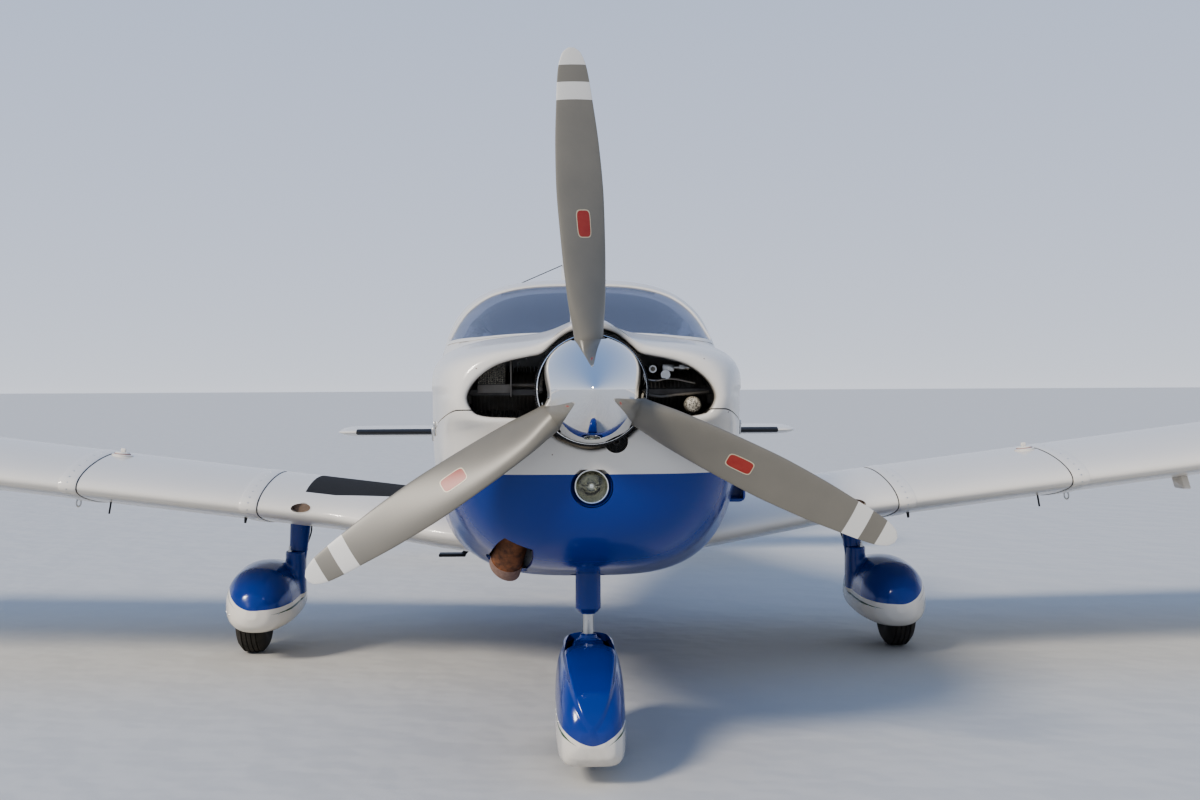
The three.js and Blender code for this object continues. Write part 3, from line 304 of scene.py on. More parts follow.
def extruded(name, spots, move, corner=0):
    """A flat outline swept along a straight move, with its corners rounded first where asked."""
    bm = bmesh.new()
    face = bm.faces.new([bm.verts.new(spot) for spot in spots])
    if corner:
        bmesh.ops.bevel(
            bm, geom=bm.verts[:], offset=corner, offset_type="OFFSET", affect="VERTICES",
            segments=10, profile=0.5, material=-1, clamp_overlap=True)
        face = bm.faces[:][0]
    out = bmesh.ops.extrude_face_region(bm, geom=[face])["geom"]
    bmesh.ops.translate(bm, vec=move, verts=[v for v in out if isinstance(v, bmesh.types.BMVert)])
    bmesh.ops.recalc_face_normals(bm, faces=bm.faces)
    return made(name, bm)


def prism(name, outline, low_x, high_x, corner=0):
    """A side view, each point a station and a height, extruded across the aircraft."""
    return extruded(name, [(low_x, s, z) for s, z in outline], (high_x - low_x, 0, 0), corner)


def rod(name, start, end, radius, end_radius=None, sides=48):
    start, end = Vector(start), Vector(end)
    bm = bmesh.new()
    aim = (end - start).to_track_quat("Z", "Y").to_matrix().to_4x4()
    bmesh.ops.create_cone(
        bm, cap_ends=True, segments=sides, radius1=radius,
        radius2=radius if end_radius is None else end_radius, depth=(end - start).length,
        matrix=Matrix.Translation((start + end) / 2) @ aim)
    return made(name, bm)


def block(name, low, high):
    low, high = Vector(low), Vector(high)
    bm = bmesh.new()
    bmesh.ops.create_cube(
        bm, size=1,
        matrix=Matrix.Translation((low + high) / 2) @ Matrix.Diagonal((*(high - low), 1)))
    return made(name, bm)


def settle(thing):
    """Applies a piece's modifiers to its mesh."""
    shown = thing.evaluated_get(bpy.context.evaluated_depsgraph_get())
    mesh = bpy.data.meshes.new_from_object(shown)
    thing.modifiers.clear()
    thing.data = mesh
    return thing


def carve(thing, *tools, operation="DIFFERENCE"):
    """Cuts a piece with others, or keeps what they share, and removes them."""
    for tool in tools:
        step = thing.modifiers.new(tool.name, "BOOLEAN")
        step.operation, step.solver, step.object = operation, "MANIFOLD", tool
    settle(thing)
    bpy.data.batch_remove(tools)
    return thing


def shared(thing, *tools):
    """Keeps what a piece shares with others."""
    return carve(thing, *tools, operation="INTERSECT")


def joined(thing, *tools):
    return carve(thing, *tools, operation="UNION")


def moved(thing, matrix):
    """Moves a piece by a matrix in millimetres by station."""
    thing.data.transform(PLACE @ matrix @ DRAWING)
    return thing


def aimed(spot, way, axis="X", up="Z"):
    """The move that carries a shape drawn at the origin to a spot and turns one of its axes a way."""
    return Matrix.Translation(spot) @ way.to_track_quat(axis, up).to_matrix().to_4x4()


def copy_of(thing, name):
    twin = bpy.data.objects.new(name, thing.data.copy())
    bpy.context.scene.collection.objects.link(twin)
    return twin


def dress(thing, body, slot, *materials, replaces=(), crease=32):
    """Gives a piece its materials, its smooth faces and its place in the frame."""
    slots = thing.data.materials
    for i, material in enumerate(materials):
        if i < len(slots):
            slots[i] = material
        else:
            slots.append(material)
    thing.data.shade_smooth()
    thing.data.set_sharp_from_angle(angle=math.radians(crease))
    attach(thing, body)
    if replaces:
        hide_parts(*replaces)
    return thing


def assign(thing, index, test):
    """Gives a material to the faces whose centre and normal pass a test, in millimetres."""
    for face in thing.data.polygons:
        if test(DRAWING @ face.center, face.normal):
            face.material_index = index


def smooth_loop(points, count):
    """Evenly spaced points round the closed smooth curve through the given ones."""
    fine = []
    for i, here in enumerate(points):
        after = points[(i + 1) % len(points)]
        leave = here + (after - points[i - 1]) / 6
        enter = after - (points[(i + 2) % len(points)] - here) / 6
        fine += interpolate_bezier(here, leave, enter, after, 25)[:-1]
    fine.append(fine[0])
    lengths = list(accumulate(((b - a).length for a, b in zip(fine, fine[1:])), initial=0))
    wanted = numpy.arange(count) * lengths[-1] / count
    return [Vector(p) for p in zip(*(numpy.interp(wanted, lengths, [v[k] for v in fine]) for k in (0, 1)))]


def coordinates(tree):
    """The station and height of each point of a painted surface, in metres."""
    x, y, z = node(tree, "SeparateXYZ", {0: node(tree, "TexCoord").node.outputs[3]}).node.outputs
    return x, calc(tree, "ADD", y, ORIGIN_STATION / 1000), z


def gloss_paint(name, pattern=None, speckled=True):
    """White gloss paint, tinted cream by painted warm sunlight, with fine dirt; pattern returns the share
    that is blue.
    """
    material, tree = surface(name, SUN_WARMED_WHITE, **GLOSS)
    cloud = noise(tree, 2.3, 5.0)
    base = blended(tree, cloud, SUN_WARMED_WHITE, tuple(c * 0.93 for c in SUN_WARMED_WHITE))
    if speckled:
        spots = texture(tree, "Voronoi", Scale=26.0).node
        near = calc(tree, "LESS_THAN", spots.outputs["Distance"], 0.08)
        rare = calc(tree, "GREATER_THAN", node(
            tree, "SeparateColor", {0: spots.outputs["Color"]}), 0.8)
        front = calc(tree, "LESS_THAN", coordinates(tree)[1], 0.6)
        spot = calc(tree, "MULTIPLY", calc(tree, "MULTIPLY", near, rare), front)
        base = blended(tree, calc(tree, "MULTIPLY", spot, 0.8), base, (0.16, 0.09, 0.05))
    if pattern:
        base = blended(tree, pattern(tree), base, BLUE)
    feed(tree, "Base Color", base)
    bumped(tree, noise(tree, 1.6), 0.06, 0.02)
    return material


def under_line(tree):
    """The blue belly: everything below a line that runs the length of the fuselage."""
    _, station, height = coordinates(tree)
    curve = tree.nodes.new("ShaderNodeFloatCurve")
    points = curve.mapping.curves[0].points
    for i, (s, z) in enumerate(BLUE_LINE):
        spot = (s / LINE_LENGTH, z / LINE_HEIGHT)
        if i in (0, len(BLUE_LINE) - 1):
            points[min(i, 1)].location = spot
        else:
            points.new(*spot)
    curve.mapping.update()
    tree.links.new(calc(tree, "DIVIDE", station, LINE_LENGTH / 1000), curve.inputs["Value"])
    line = calc(tree, "MULTIPLY", curve.outputs[0], LINE_HEIGHT / 1000)
    return calc(tree, "GREATER_THAN", line, height)


hull_paint = gloss_paint("white_and_blue_gloss_paint", under_line)
white_paint = gloss_paint("white_gloss_paint")
# Near-black metal for the inlets' inner walls: painted shade inside the inlets, not soot.
inlet_shade_metal, tree = surface("sooty_dark_metal", (0.03, 0.029, 0.028), 0.6, Metallic=0.4)

inlet = [Vector(p) for p in INLET] + [Vector((-x, z)) for x, z in reversed(INLET[1:-1])]
inlet = smooth_loop(inlet, COWL_SIDES)
cowl_angles = [math.atan2(p.y, p.x) for p in inlet]
outward = [(inlet[(i + 1) % COWL_SIDES] - inlet[i - 1]).orthogonal().normalized() for i in range(COWL_SIDES)]
outward = [n if n.dot(p) > 0 else -n for n, p in zip(outward, inlet)]


def roll_ring(share, skin=0):
    """The cowl's skin at a share of the way from the inlet's lip to the full section."""
    ring = []
    for edge, out, angle in zip(inlet, outward, cowl_angles):
        power = 2 / (2.5 + 1.8 * max(0, math.sin(angle)))
        reach = math.sin(share * math.pi / 2) ** power
        back = 1 - math.cos(share * math.pi / 2) ** power
        start = edge + out * (LIP_RADIUS + skin)
        station = LIP_STATION + skin + (ROLL_END - LIP_STATION - skin) * back
        lip, full = Vector((start.x, station, HUB_HEIGHT + start.y)), body_ring(station, [angle], skin)[0]
        ring.append(lip.lerp(full, reach))
    return ring


def lip_ring(turn, depth=0):
    """The lip's round edge, turned inwards by an angle and then run back by a depth."""
    return [
        Vector((
            edge.x + out.x * LIP_RADIUS * (1 - math.sin(turn)),
            LIP_STATION + LIP_RADIUS * (1 - math.cos(turn)) + depth,
            HUB_HEIGHT + edge.y + out.y * LIP_RADIUS * (1 - math.sin(turn)),
        ))
        for edge, out in zip(inlet, outward)
    ]


cowl = loft("cowl", [
    *(lip_ring(math.pi / 2, depth) for depth in (LIP_DEPTH, LIP_DEPTH / 2)),
    *(lip_ring(math.radians(turn)) for turn in (90, 68, 45, 22)),
    *(roll_ring((i / 26) ** 1.5) for i in range(27)),
    *(body_ring(s, cowl_angles) for s in even_steps(ROLL_END, FIREWALL, 48)[1:]),
    *(body_ring(s, cowl_angles, COWL_SKIN) for s in even_steps(FIREWALL, ROLL_END, 120)[:-1]),
    *(roll_ring((1 - i / 8) ** 1.4, COWL_SKIN) for i in range(8)),
], looped=True)
LAMP_HEIGHT, LAMP_RADIUS = 952, 53
PULLEY_X, PULLEY_HEIGHT, PULLEY_RADIUS = 74, 1092, 36
NOSE_AXLE = (0, 670, 186)
EXHAUST_RADIUS, EXHAUST_WALL, COLLAR_LENGTH, BORE_DEPTH = 53, 4, 40, 55
EXHAUST_PATH = (
    (-112, 452, 960), (-132, 452, 920), (-196, 466, 866), (-238, 500, 796), (-262, 560, 712),
    (-281, 616, 653),
)


def parted(name, shift, height):
    line = [(s, z + shift) for s, z in SPLIT_LINE]
    return prism(name, [*line, (1300, height), (0, height)], -900, 900)


upper_cowl = shared(copy_of(cowl, "upper_cowl"), parted("above", SEAM, 1900))
lower_cowl = shared(copy_of(cowl, "lower_cowl"), parted("below", -SEAM, 300))
bpy.data.objects.remove(cowl)
lamp_hole = rod("lamp_hole", (0, 100, LAMP_HEIGHT), (0, 420, LAMP_HEIGHT), LAMP_RADIUS + 12, sides=64)
carve(lamp_hole, block("flat_top", (-99, 0, LAMP_HEIGHT + 54), (99, 500, LAMP_HEIGHT + 99)))
carve(
    lower_cowl,
    lamp_hole,
    rod("notch", (PULLEY_X, 60, PULLEY_HEIGHT), (PULLEY_X, 240, PULLEY_HEIGHT), PULLEY_RADIUS),
    rod("leg_hole", (0, NOSE_AXLE[1], 400), (0, NOSE_AXLE[1], 900), 60),
    rod("pipe_hole", (-246, 250, 720), (-285, 640, 640), 70, sides=64),
    rod("pipe_slot", (-262, 560, 712), (-306, 690, 560), 74),
    block("air_outlet", (-200, 900, 400), (200, 1200, 640)),
)
for half, node_name in ((upper_cowl, "cowl_upper"), (lower_cowl, "cowl_lower")):
    dress(half, "airframe", "white_paint", hull_paint, inlet_shade_metal, replaces=(node_name,))
    # The inner walls behind each inlet's lip take the near-black metal, as painted shade.
    assign(half, 1, lambda spot, normal: abs(spot.x) < 400 and 1160 < spot.z < 1450 and (
        LIP_STATION + 34 < spot.y < LIP_STATION + LIP_DEPTH + 9 and
        Vector((normal.x, normal.z)).dot(Vector((spot.x, spot.z - HUB_HEIGHT))) < 0))

# Cowl fastenings: two small over-centre latches with their pins on each side of the seam, a blast tube's
# mouth with a blue lip on the left cheek, and rows of flush screws at the firewall.
# Each latch's station and its angle below the level through the waist.
LATCHES, FIREWALL_SCREWS = ((600, -0.25), (920, -0.285)), 9
steel, tree = surface("plated_steel", (0.55, 0.55, 0.54), 0.28, Metallic=1.0)
scuff = noise(tree, 60.0, 4.0)
feed(tree, "Roughness", ranged(tree, scuff, 0.0, 1.0, 0.18, 0.45))
black_plastic, tree = surface("black_plastic", (0.012, 0.012, 0.013), 0.45)
bumped(tree, noise(tree, 420.0), 0.15)


def gather(name, *parts):
    """Joins scratch parts into one piece; each part is an object and its material's place."""
    bm = bmesh.new()
    for part, index in parts:
        known = len(bm.faces)
        bm.from_mesh(part.data)
        bm.faces.ensure_lookup_table()
        for face in bm.faces[known:]:
            face.material_index = index
    bpy.data.batch_remove([part for part, _ in parts])
    return made(name, bm, Matrix())


def smoothed(bm, verts, times):
    """Moves points towards the middle of their neighbours."""
    for _ in range(times):
        bmesh.ops.smooth_vert(
            bm, verts=verts, factor=0.5, use_axis_x=True, use_axis_y=True, use_axis_z=True)


def mirrored(thing, name):
    """The same piece on the aircraft's other side."""
    bm = bmesh.new()
    bm.from_mesh(thing.data)
    bmesh.ops.scale(bm, vec=(-1, 1, 1), verts=bm.verts)
    bmesh.ops.reverse_faces(bm, faces=bm.faces)
    return made(name, bm, Matrix())


def softened(thing, width, segments=2):
    """Rounds a piece's edges by a width in millimetres."""
    step = thing.modifiers.new("round_edges", "BEVEL")
    step.width, step.segments, step.angle_limit = width / 1000, segments, math.radians(35)
    return settle(thing)


def surface_spot(station, angle, proud=0.0):
    """A point of the fuselage's surface with its outward direction."""
    here = body_ring(station, [angle], -proud)[0]
    a, b = body_ring(station, [angle - 0.01, angle + 0.01])
    return here, Vector(((b - a).z, 0, -(b - a).x)).normalized()


for side, angle_at in (("left", lambda a: a), ("right", lambda a: math.pi - a)):
    parts = []
    for station, tilt in LATCHES:
        spot, out = surface_spot(station, angle_at(tilt), 1)
        latch = block("latch", (-3.5, -16, -24), (3.5, 16, 24))
        parts.append((softened(moved(latch, aimed(spot, out)), 3), 0))
        pin, reach = spot + out * 2 + Vector((0, 0, 12)), Vector((0, 19, 0))
        parts.append((rod("pin", pin - reach, pin + reach, 3), 0))
    for k in range(FIREWALL_SCREWS):
        spot, out = surface_spot(FIREWALL - 14, angle_at(-1.1 + k * 0.26), 0)
        parts.append((rod("screw", spot - out * 2, spot + out * 1.2, 5.5, 4.5, 16), 0))
    dress(gather(f"cowl_latches_{side}", *parts), "airframe", "bare_steel", steel)
scoop = carve(
    softened(block("scoop", (480, 840, 846), (566, 960, 916)), 22, 5),
    block("mouth", (500, 800, 858), (556, 930, 930)),
)
dress(scoop, "airframe", "blue_paint", hull_paint)

# Landing lamp: a sealed beam in the lower cowl's chin. A thin plated ring holds a clear lens over a
# silvered bowl with a capped bulb, and a blue recess leads in to it from the cowl's skin.
LAMP_FRONT, LAMP_DEPTH, BOWL_RADIUS, BOWL_DEPTH = 148, 56, 49, 38
chrome, tree = surface("polished_chrome", (0.86, 0.86, 0.85), 0.035, Metallic=1.0)
wear = noise(tree, 30.0, 6.0)
feed(tree, "Roughness", ranged(tree, wear, 0.45, 1.0, 0.02, 0.09))
clear_glass, tree = surface(
    "lamp_glass", (0.93, 0.93, 0.88), 0.03, Transmission_Weight=1.0, IOR=1.45)
bumped(tree, texture(tree, "Wave", Scale=60.0, bands_direction="X"), 0.12)


def turned(name, profile, centre=(0, 0, HUB_HEIGHT), axis="Y", steps=64):
    """Spins a closed profile of radii and distances about an axis of the aircraft."""
    centre, about = Vector(centre), Vector((axis == "X", axis == "Y", axis == "Z"))
    bm = bmesh.new()
    spots = [bm.verts.new(centre + about * far + Vector((0, 0, radius) if axis != "Z" else (radius, 0, 0)))
             for radius, far in profile]
    edges = [bm.edges.new(pair) for pair in zip(spots, [*spots[1:], spots[0]])]
    bmesh.ops.spin(
        bm, geom=spots + edges, cent=centre, axis=about, angle=math.tau, steps=steps, use_merge=True)
    bmesh.ops.remove_doubles(bm, verts=bm.verts, dist=1e-3)
    bmesh.ops.dissolve_degenerate(bm, edges=bm.edges, dist=1e-3)
    bmesh.ops.recalc_face_normals(bm, faces=bm.faces)
    return made(name, bm)


# The bowl's olive tint is a painted reflection; its darker mottle is part haze, part painted reflection.
silvering_with_painted_reflection, tree = surface("silvered_bowl", (0.5, 0.49, 0.4), 0.09, Metallic=1.0)
haze_and_painted_reflection = noise(tree, 70.0, 5.0)
tinted(tree, haze_and_painted_reflection, (0.66, 0.65, 0.56), (0.3, 0.29, 0.21))
bumped(tree, haze_and_painted_reflection, 0.1, 0.002)
lamp_centre = (0, LAMP_FRONT, LAMP_HEIGHT)
bowl = [(BOWL_RADIUS * k / 12, 4 + BOWL_DEPTH * (1 - (k / 12) ** 2)) for k in range(13)]
landing_lamp = gather(
    "landing_lamp",
    (turned("recess", [
        (LAMP_RADIUS + 11, 2), (LAMP_RADIUS + 11, LAMP_DEPTH), (0, LAMP_DEPTH), (0, LAMP_DEPTH - 4),
        (LAMP_RADIUS + 3, LAMP_DEPTH - 4), (LAMP_RADIUS + 3, 10)], lamp_centre), 1),
    (turned("ring", [(BOWL_RADIUS - 1, 1), (BOWL_RADIUS, -3), (BOWL_RADIUS + 3, -4), (LAMP_RADIUS + 1, -1),
                     (LAMP_RADIUS + 1, 9), (BOWL_RADIUS - 1, 9)], lamp_centre), 0),
    (turned("bowl", [*bowl, (BOWL_RADIUS + 2, 4), (BOWL_RADIUS + 2, 46), (0, 46)], lamp_centre), 2),
    (turned("bulb", [(0, 13), (6, 14), (9, 18), (9, 24), (6, 27), (5, 41), (0, 41)],
            lamp_centre, steps=32), 0),
    *((rod("prong", (x, LAMP_FRONT + 20, LAMP_HEIGHT - 2), (x * 1.6, LAMP_FRONT + 41, LAMP_HEIGHT - 2), 1.2,
           sides=8), 0) for x in (-8, 8)),
)
dress(landing_lamp, "airframe", "lamp_glass", chrome, hull_paint, silvering_with_painted_reflection, replaces=("landing_light",))
lens = [(BOWL_RADIUS * k / 8 - (k == 8), -9 + 9 * (k / 8) ** 2) for k in range(9)]
lens_piece = turned("lamp_lens", [*lens, *((r, z + 3) for r, z in reversed(lens))], lamp_centre)
dress(lens_piece, "airframe", "lamp_glass", clear_glass)

# Engine: a flat four seen through the inlets. Sheet baffles close the space round the finned
# cylinders, with fuel lines, injector fittings and an oil cooler's round end on the left side.
ENGINE_BACK, CYLINDER_HEIGHT, CYLINDER_FRONTS = 995, 1243, (300, 640)
FIN_COUNT, FIN_GAP, GEAR_TEETH = 17, 12.5, 149.0
baffle_metal, tree = surface("baffle_sheet", (0.15, 0.145, 0.14), 0.5, Metallic=0.85)
tinted(tree, noise(tree, 24.0, 5.0), (0.21, 0.2, 0.19), (0.045, 0.04, 0.035))
cast_metal, tree = surface("cast_aluminium", (0.3, 0.29, 0.27), 0.62, Metallic=0.8)
bumped(tree, noise(tree, 260.0, 3.0), 0.4)
tinted(tree, noise(tree, 14.0, 4.0), (0.52, 0.5, 0.46), (0.1, 0.075, 0.055))
salted_metal, tree = surface("salted_aluminium", (0.6, 0.55, 0.45), 0.55, Metallic=0.3)
crust = noise(tree, 190.0, 6.0, Roughness=0.8)
share = ranged(tree, crust, 0.42, 0.56)
tinted(tree, share, (0.05, 0.045, 0.04), (0.85, 0.8, 0.68))
bumped(tree, crust, 0.7, 0.002)


def pipe(name, path, radius, sides=12, place=PLACE):
    """A round pipe along a smooth path, with closed ends."""
    curve = bpy.data.curves.new(name, "CURVE")
    curve.dimensions, curve.resolution_u = "3D", 8
    curve.bevel_depth, curve.bevel_resolution, curve.use_fill_caps = radius / 1000, sides // 4, True
    spline = curve.splines.new("BEZIER")
    spline.bezier_points.add(len(path) - 1)
    for knot, spot in zip(spline.bezier_points, path):
        knot.co = place @ Vector(spot)
        knot.handle_left_type = knot.handle_right_type = "AUTO"
    line = bpy.data.objects.new(name, curve)
    bpy.context.scene.collection.objects.link(line)
    bm = bmesh.new()
    bm.from_mesh(bpy.data.meshes.new_from_object(
        line.evaluated_get(bpy.context.evaluated_depsgraph_get())))
    bpy.data.objects.remove(line)
    bmesh.ops.remove_doubles(bm, verts=bm.verts, dist=1e-6)
    bmesh.ops.recalc_face_normals(bm, faces=bm.faces)
    return made(name, bm, Matrix())


def fins(count, low, high, gap):
    """A stack of level cooling fins with uprights between them, one above the other."""
    width = (high[0] - low[0]) / count
    plates = [(block("fin", (low[0], low[1], low[2] + k * gap), (high[0], high[1], low[2] + k * gap + 2)), 2)
              for k in range(count)]
    uprights = [(block("upright", (low[0] + k * width, low[1] + 4, low[2]),
                       (low[0] + k * width + 1.5, high[1], low[2] + (count - 1) * gap)), 2)
                for k in range(count + 1)]
    return plates + uprights


crankcase = gather(
    "engine_case",
    (softened(block("case", (-148, 330, 1000), (148, ENGINE_BACK, 1362)), 14), 0),
    (softened(block("sump", (-146, 420, 970), (146, 900, 1005)), 10), 0),
    (turned("nose_case", [(0, 110), (64, 110), (70, 118), (70, 210), (110, 250), (118, 335), (0, 335)]), 0),
)
dress(crankcase, "airframe", "engine_metal", cast_metal, replaces=("engine_block",))
for side, sign in SIDES:
    cylinders = []
    for front in CYLINDER_FRONTS:
        middle = Vector((0, front + 110, CYLINDER_HEIGHT))
        outwards = Vector((sign, 0, 0))
        for k in range(FIN_COUNT):
            near = middle + outwards * (158 + k * FIN_GAP)
            cylinders.append((rod("fin", near, near + outwards * 3, 82 if k < 11 else 76, sides=40), 0))
        rocker_box = block(
            "rocker_box", (sign * 372, front + 40, 1200), (sign * 412, front + 180, 1290))
        plug_foot, plug_head = (sign * 330, front + 60, 1322), (sign * 345, front + 40, 1362)
        cylinders += [
            (rod("barrel", middle + outwards * 150, middle + outwards * 372, 62), 0),
            (softened(rocker_box, 12), 0),
            (rod("plug", plug_foot, plug_head, 9, 6, 16), 0),
        ]
    dress(gather(f"cylinders_{side}", *cylinders), "airframe", "engine_metal", cast_metal)
    baffles = [
        (block("floor", (sign * 152, 200, 1158), (sign * 398, 330, 1161)), 0),
        (block("shelf", (sign * 152, 262, 1232), (sign * 396, 265, 1252)), 0),
        (block("shelf_top", (sign * 152, 262, 1250), (sign * 396, 330, 1252)), 0),
        (block("wall", (sign * 396, 206, 1150), (sign * 399, 980, 1320)), 0),
    ]
    dress(gather(f"baffles_{side}", *baffles), "airframe", "engine_metal", baffle_metal)
right_side = [
    *fins(11, (-350, 262, 1268), (-268, 292, 1330), 6),
    (block("plate", (-352, 255, 1240), (-248, 258, 1266)), 0),
    (block("divider", (-249, 215, 1228), (-245, 330, 1346)), 0),
    (rod("conduit", (-245, 262, 1264), (-160, 262, 1264), 7), 0),
]
dress(gather("inlet_fittings_right", *right_side), "airframe", "engine_metal",
      cast_metal, steel, salted_metal)
left_side = [
    (softened(block("divider_block", (226, 252, 1304), (264, 290, 1330)), 3), 1),
    (rod("regulator", (236, 246, 1294), (236, 290, 1294), 15), 1),
    (rod("fitting", (196, 242, 1312), (196, 290, 1312), 12), 1),
    (rod("fitting_end", (196, 234, 1312), (196, 244, 1312), 7), 0),
    (rod("union", (264, 262, 1318), (312, 262, 1318), 9), 1),
    (turned("union_nut", [(0, -8), (13, -8), (13, 8), (0, 8)], (288, 262, 1318), "X", 6), 1),
    (turned("clip", [(9, -3), (12, -3), (12, 3), (9, 3)], (306, 262, 1318), "X", 24), 1),
    (pipe("line_a", [(150, 250, 1290), (196, 240, 1276), (246, 252, 1282), (330, 262, 1268)], 4), 1),
    (pipe("line_b", [(310, 276, 1318), (352, 276, 1300), (366, 300, 1262)], 4), 1),
    (turned("filter_end", [(0, 200), (13, 201), (22, 206), (26, 215), (26, 256), (0, 256)],
            (319, 0, 1200)), 2),
    (pipe("line_c", [(160, 240, 1236), (214, 232, 1226), (280, 236, 1232), (372, 250, 1240)], 5), 0),
]
dress(gather("inlet_fittings_left", *left_side), "airframe", "engine_metal",
      cast_metal, steel, salted_metal)
ring_gear = turned(
    "ring_gear", [(60, 92), (174, 92), (174, 104), (150, 104), (146, 100), (60, 100)], steps=96)
gear_metal, tree = surface("oiled_steel", (0.09, 0.085, 0.08), 0.42, Metallic=1.0)
x, _, z = coordinates(tree)
turn = calc(tree, "ARCTAN2", calc(tree, "SUBTRACT", z, HUB_HEIGHT / 1000), x)
teeth = calc(tree, "SINE", calc(tree, "MULTIPLY", turn, GEAR_TEETH))
bumped(tree, teeth, 1.0, 0.004)
dress(ring_gear, "propeller", "bare_steel", gear_metal)
pulley = turned("alternator_pulley", [
    (8, 106), (13, 106), (13, 112), (20, 113), (32, 110), (33, 114), (26, 120), (33, 126), (33, 130),
    (8, 130),
], (PULLEY_X, 0, PULLEY_HEIGHT))
dress(pulley, "airframe", "bare_steel", gear_metal)

# Exhaust: one mild steel pipe, rusted orange by its heat, drops out of a dished hole in the lower
# cowl on the right side and ends in a thick welded lip, sooty inside.
rust, tree = surface("rusted_steel", (0.25, 0.1, 0.045), 0.75, Metallic=0.25)
flakes = noise(tree, 38.0, 8.0, Roughness=0.7)
tinted(tree, ranged(tree, flakes, 0.35, 0.65), (0.36, 0.15, 0.065), (0.1, 0.05, 0.032))
bumped(tree, flakes, 0.5, 0.002)
soot, tree = surface("soot", (0.006, 0.005, 0.005), 0.9)
tinted(tree, noise(tree, 55.0, 6.0), (0.004, 0.004, 0.004), (0.028, 0.022, 0.018))
weld, tree = surface("scaled_weld", (0.34, 0.22, 0.17), 0.6, Metallic=0.35)
scale_marks = noise(tree, 90.0, 6.0)
tinted(tree, scale_marks, (0.42, 0.29, 0.23), (0.17, 0.09, 0.06))
bumped(tree, scale_marks, 0.6, 0.002)
end = Vector(EXHAUST_PATH[-1])
way = (end - Vector(EXHAUST_PATH[-2])).normalized()
exhaust = pipe("exhaust_tube", EXHAUST_PATH, EXHAUST_RADIUS, 40)
collar = rod("collar", end - way * COLLAR_LENGTH, end + way * 24, EXHAUST_RADIUS + 3, sides=64)
joined(exhaust, collar)
bore = rod("bore", end - way * BORE_DEPTH, end + way * 60, EXHAUST_RADIUS - EXHAUST_WALL, sides=56)
carve(exhaust, bore)
slant = block("slant", (-200, -200, 0), (200, 200, 200))
carve(exhaust, moved(slant, aimed(end + way * 4, way + Vector((-0.36, 0.1, -0.1)), "Z", "Y")))
dress(exhaust, "airframe", "exhaust_metal", rust, soot, weld, replaces=("exhaust_pipe",))


def faces_inwards(spot, normal):
    """True on the pipe's inside, whose faces look towards its middle line."""
    return normal.dot(end + way * (spot - end).dot(way) - spot) > 0


assign(exhaust, 1, lambda spot, normal: (
    (spot - end).dot(way) > -BORE_DEPTH - 2 and faces_inwards(spot, normal)))
assign(exhaust, 2, lambda spot, normal: normal.dot(way) > 0.8 or (
    (spot - end).dot(way) > 1 - COLLAR_LENGTH and not faces_inwards(spot, normal)))

# Propeller: three twisted aluminium blades in satin grey, each tip banded in white, grey and
# white with a blank label half way out, through a polished spinner with a screwed back plate.
PROPELLER_RADIUS = 1012
PROPELLER_TURN = 3.3
BLADES = 3
SPINNER_RADIUS, SPINNER_TIP, SPINNER_BACK, SPINNER_WALL = 164, -260, 82, 5
OGIVE_END, OGIVE_ROWS, SPINNER_SCREWS, SCREW_STATION = 58, 40, 30, 62
# Columns: share of the radius, chord, thickness as a share of the chord, pitch in degrees.
BLADE = (
    (0.079, 92, 0.95, 50), (0.15, 108, 0.62, 46), (0.26, 140, 0.3, 38), (0.4, 150, 0.18, 30),
    (0.55, 152, 0.125, 23), (0.7, 139, 0.1, 18), (0.84, 113, 0.085, 15), (0.94, 88, 0.08, 13),
    (0.985, 56, 0.08, 12), (1.0, 20, 0.12, 12),
)
TIP_BANDS = (0.848, 0.9, 0.95)
LABEL_SHARE, LABEL_HALF = 0.484, (24, 42)
blade_grey, tree = surface("satin_grey_paint", (0.2, 0.19, 0.17), 0.36)
x, station, z = coordinates(tree)
above_hub = calc(tree, "SUBTRACT", z, HUB_HEIGHT / 1000)
squares = (calc(tree, "POWER", leg, 2.0) for leg in (x, above_hub))
radius = calc(tree, "SQRT", calc(tree, "ADD", *squares))
share = calc(tree, "DIVIDE", radius, PROPELLER_RADIUS / 1000)
mottle = noise(tree, 9.0, 6.0)
grey = blended(tree, mottle, (0.225, 0.207, 0.17), (0.172, 0.16, 0.134))
first, second, third = (calc(tree, "GREATER_THAN", share, edge) for edge in TIP_BANDS)
band = calc(tree, "ADD", calc(tree, "SUBTRACT", first, second), third)
tinted(tree, band, grey, (0.66, 0.64, 0.59))
bumped(tree, noise(tree, 190.0, 4.0), 0.08)
blade_black, tree = surface("matt_black_paint", (0.014, 0.014, 0.015), 0.6)
tinted(tree, noise(tree, 16.0, 8.0), (0.01, 0.01, 0.011), (0.03, 0.029, 0.027))


def foil(name, fresh, faded):
    """Printed foil that the sun has bleached in patches."""
    material, tree = surface(name, fresh, 0.35)
    bleach = noise(tree, 45.0, 5.0)
    tinted(tree, bleach, fresh, faded)
    bumped(tree, bleach, 0.1)
    return material


label_red = foil("label_foil", (0.3, 0.022, 0.018), (0.36, 0.06, 0.04))
label_edge = foil("label_border", (0.62, 0.55, 0.4), (0.5, 0.42, 0.28))


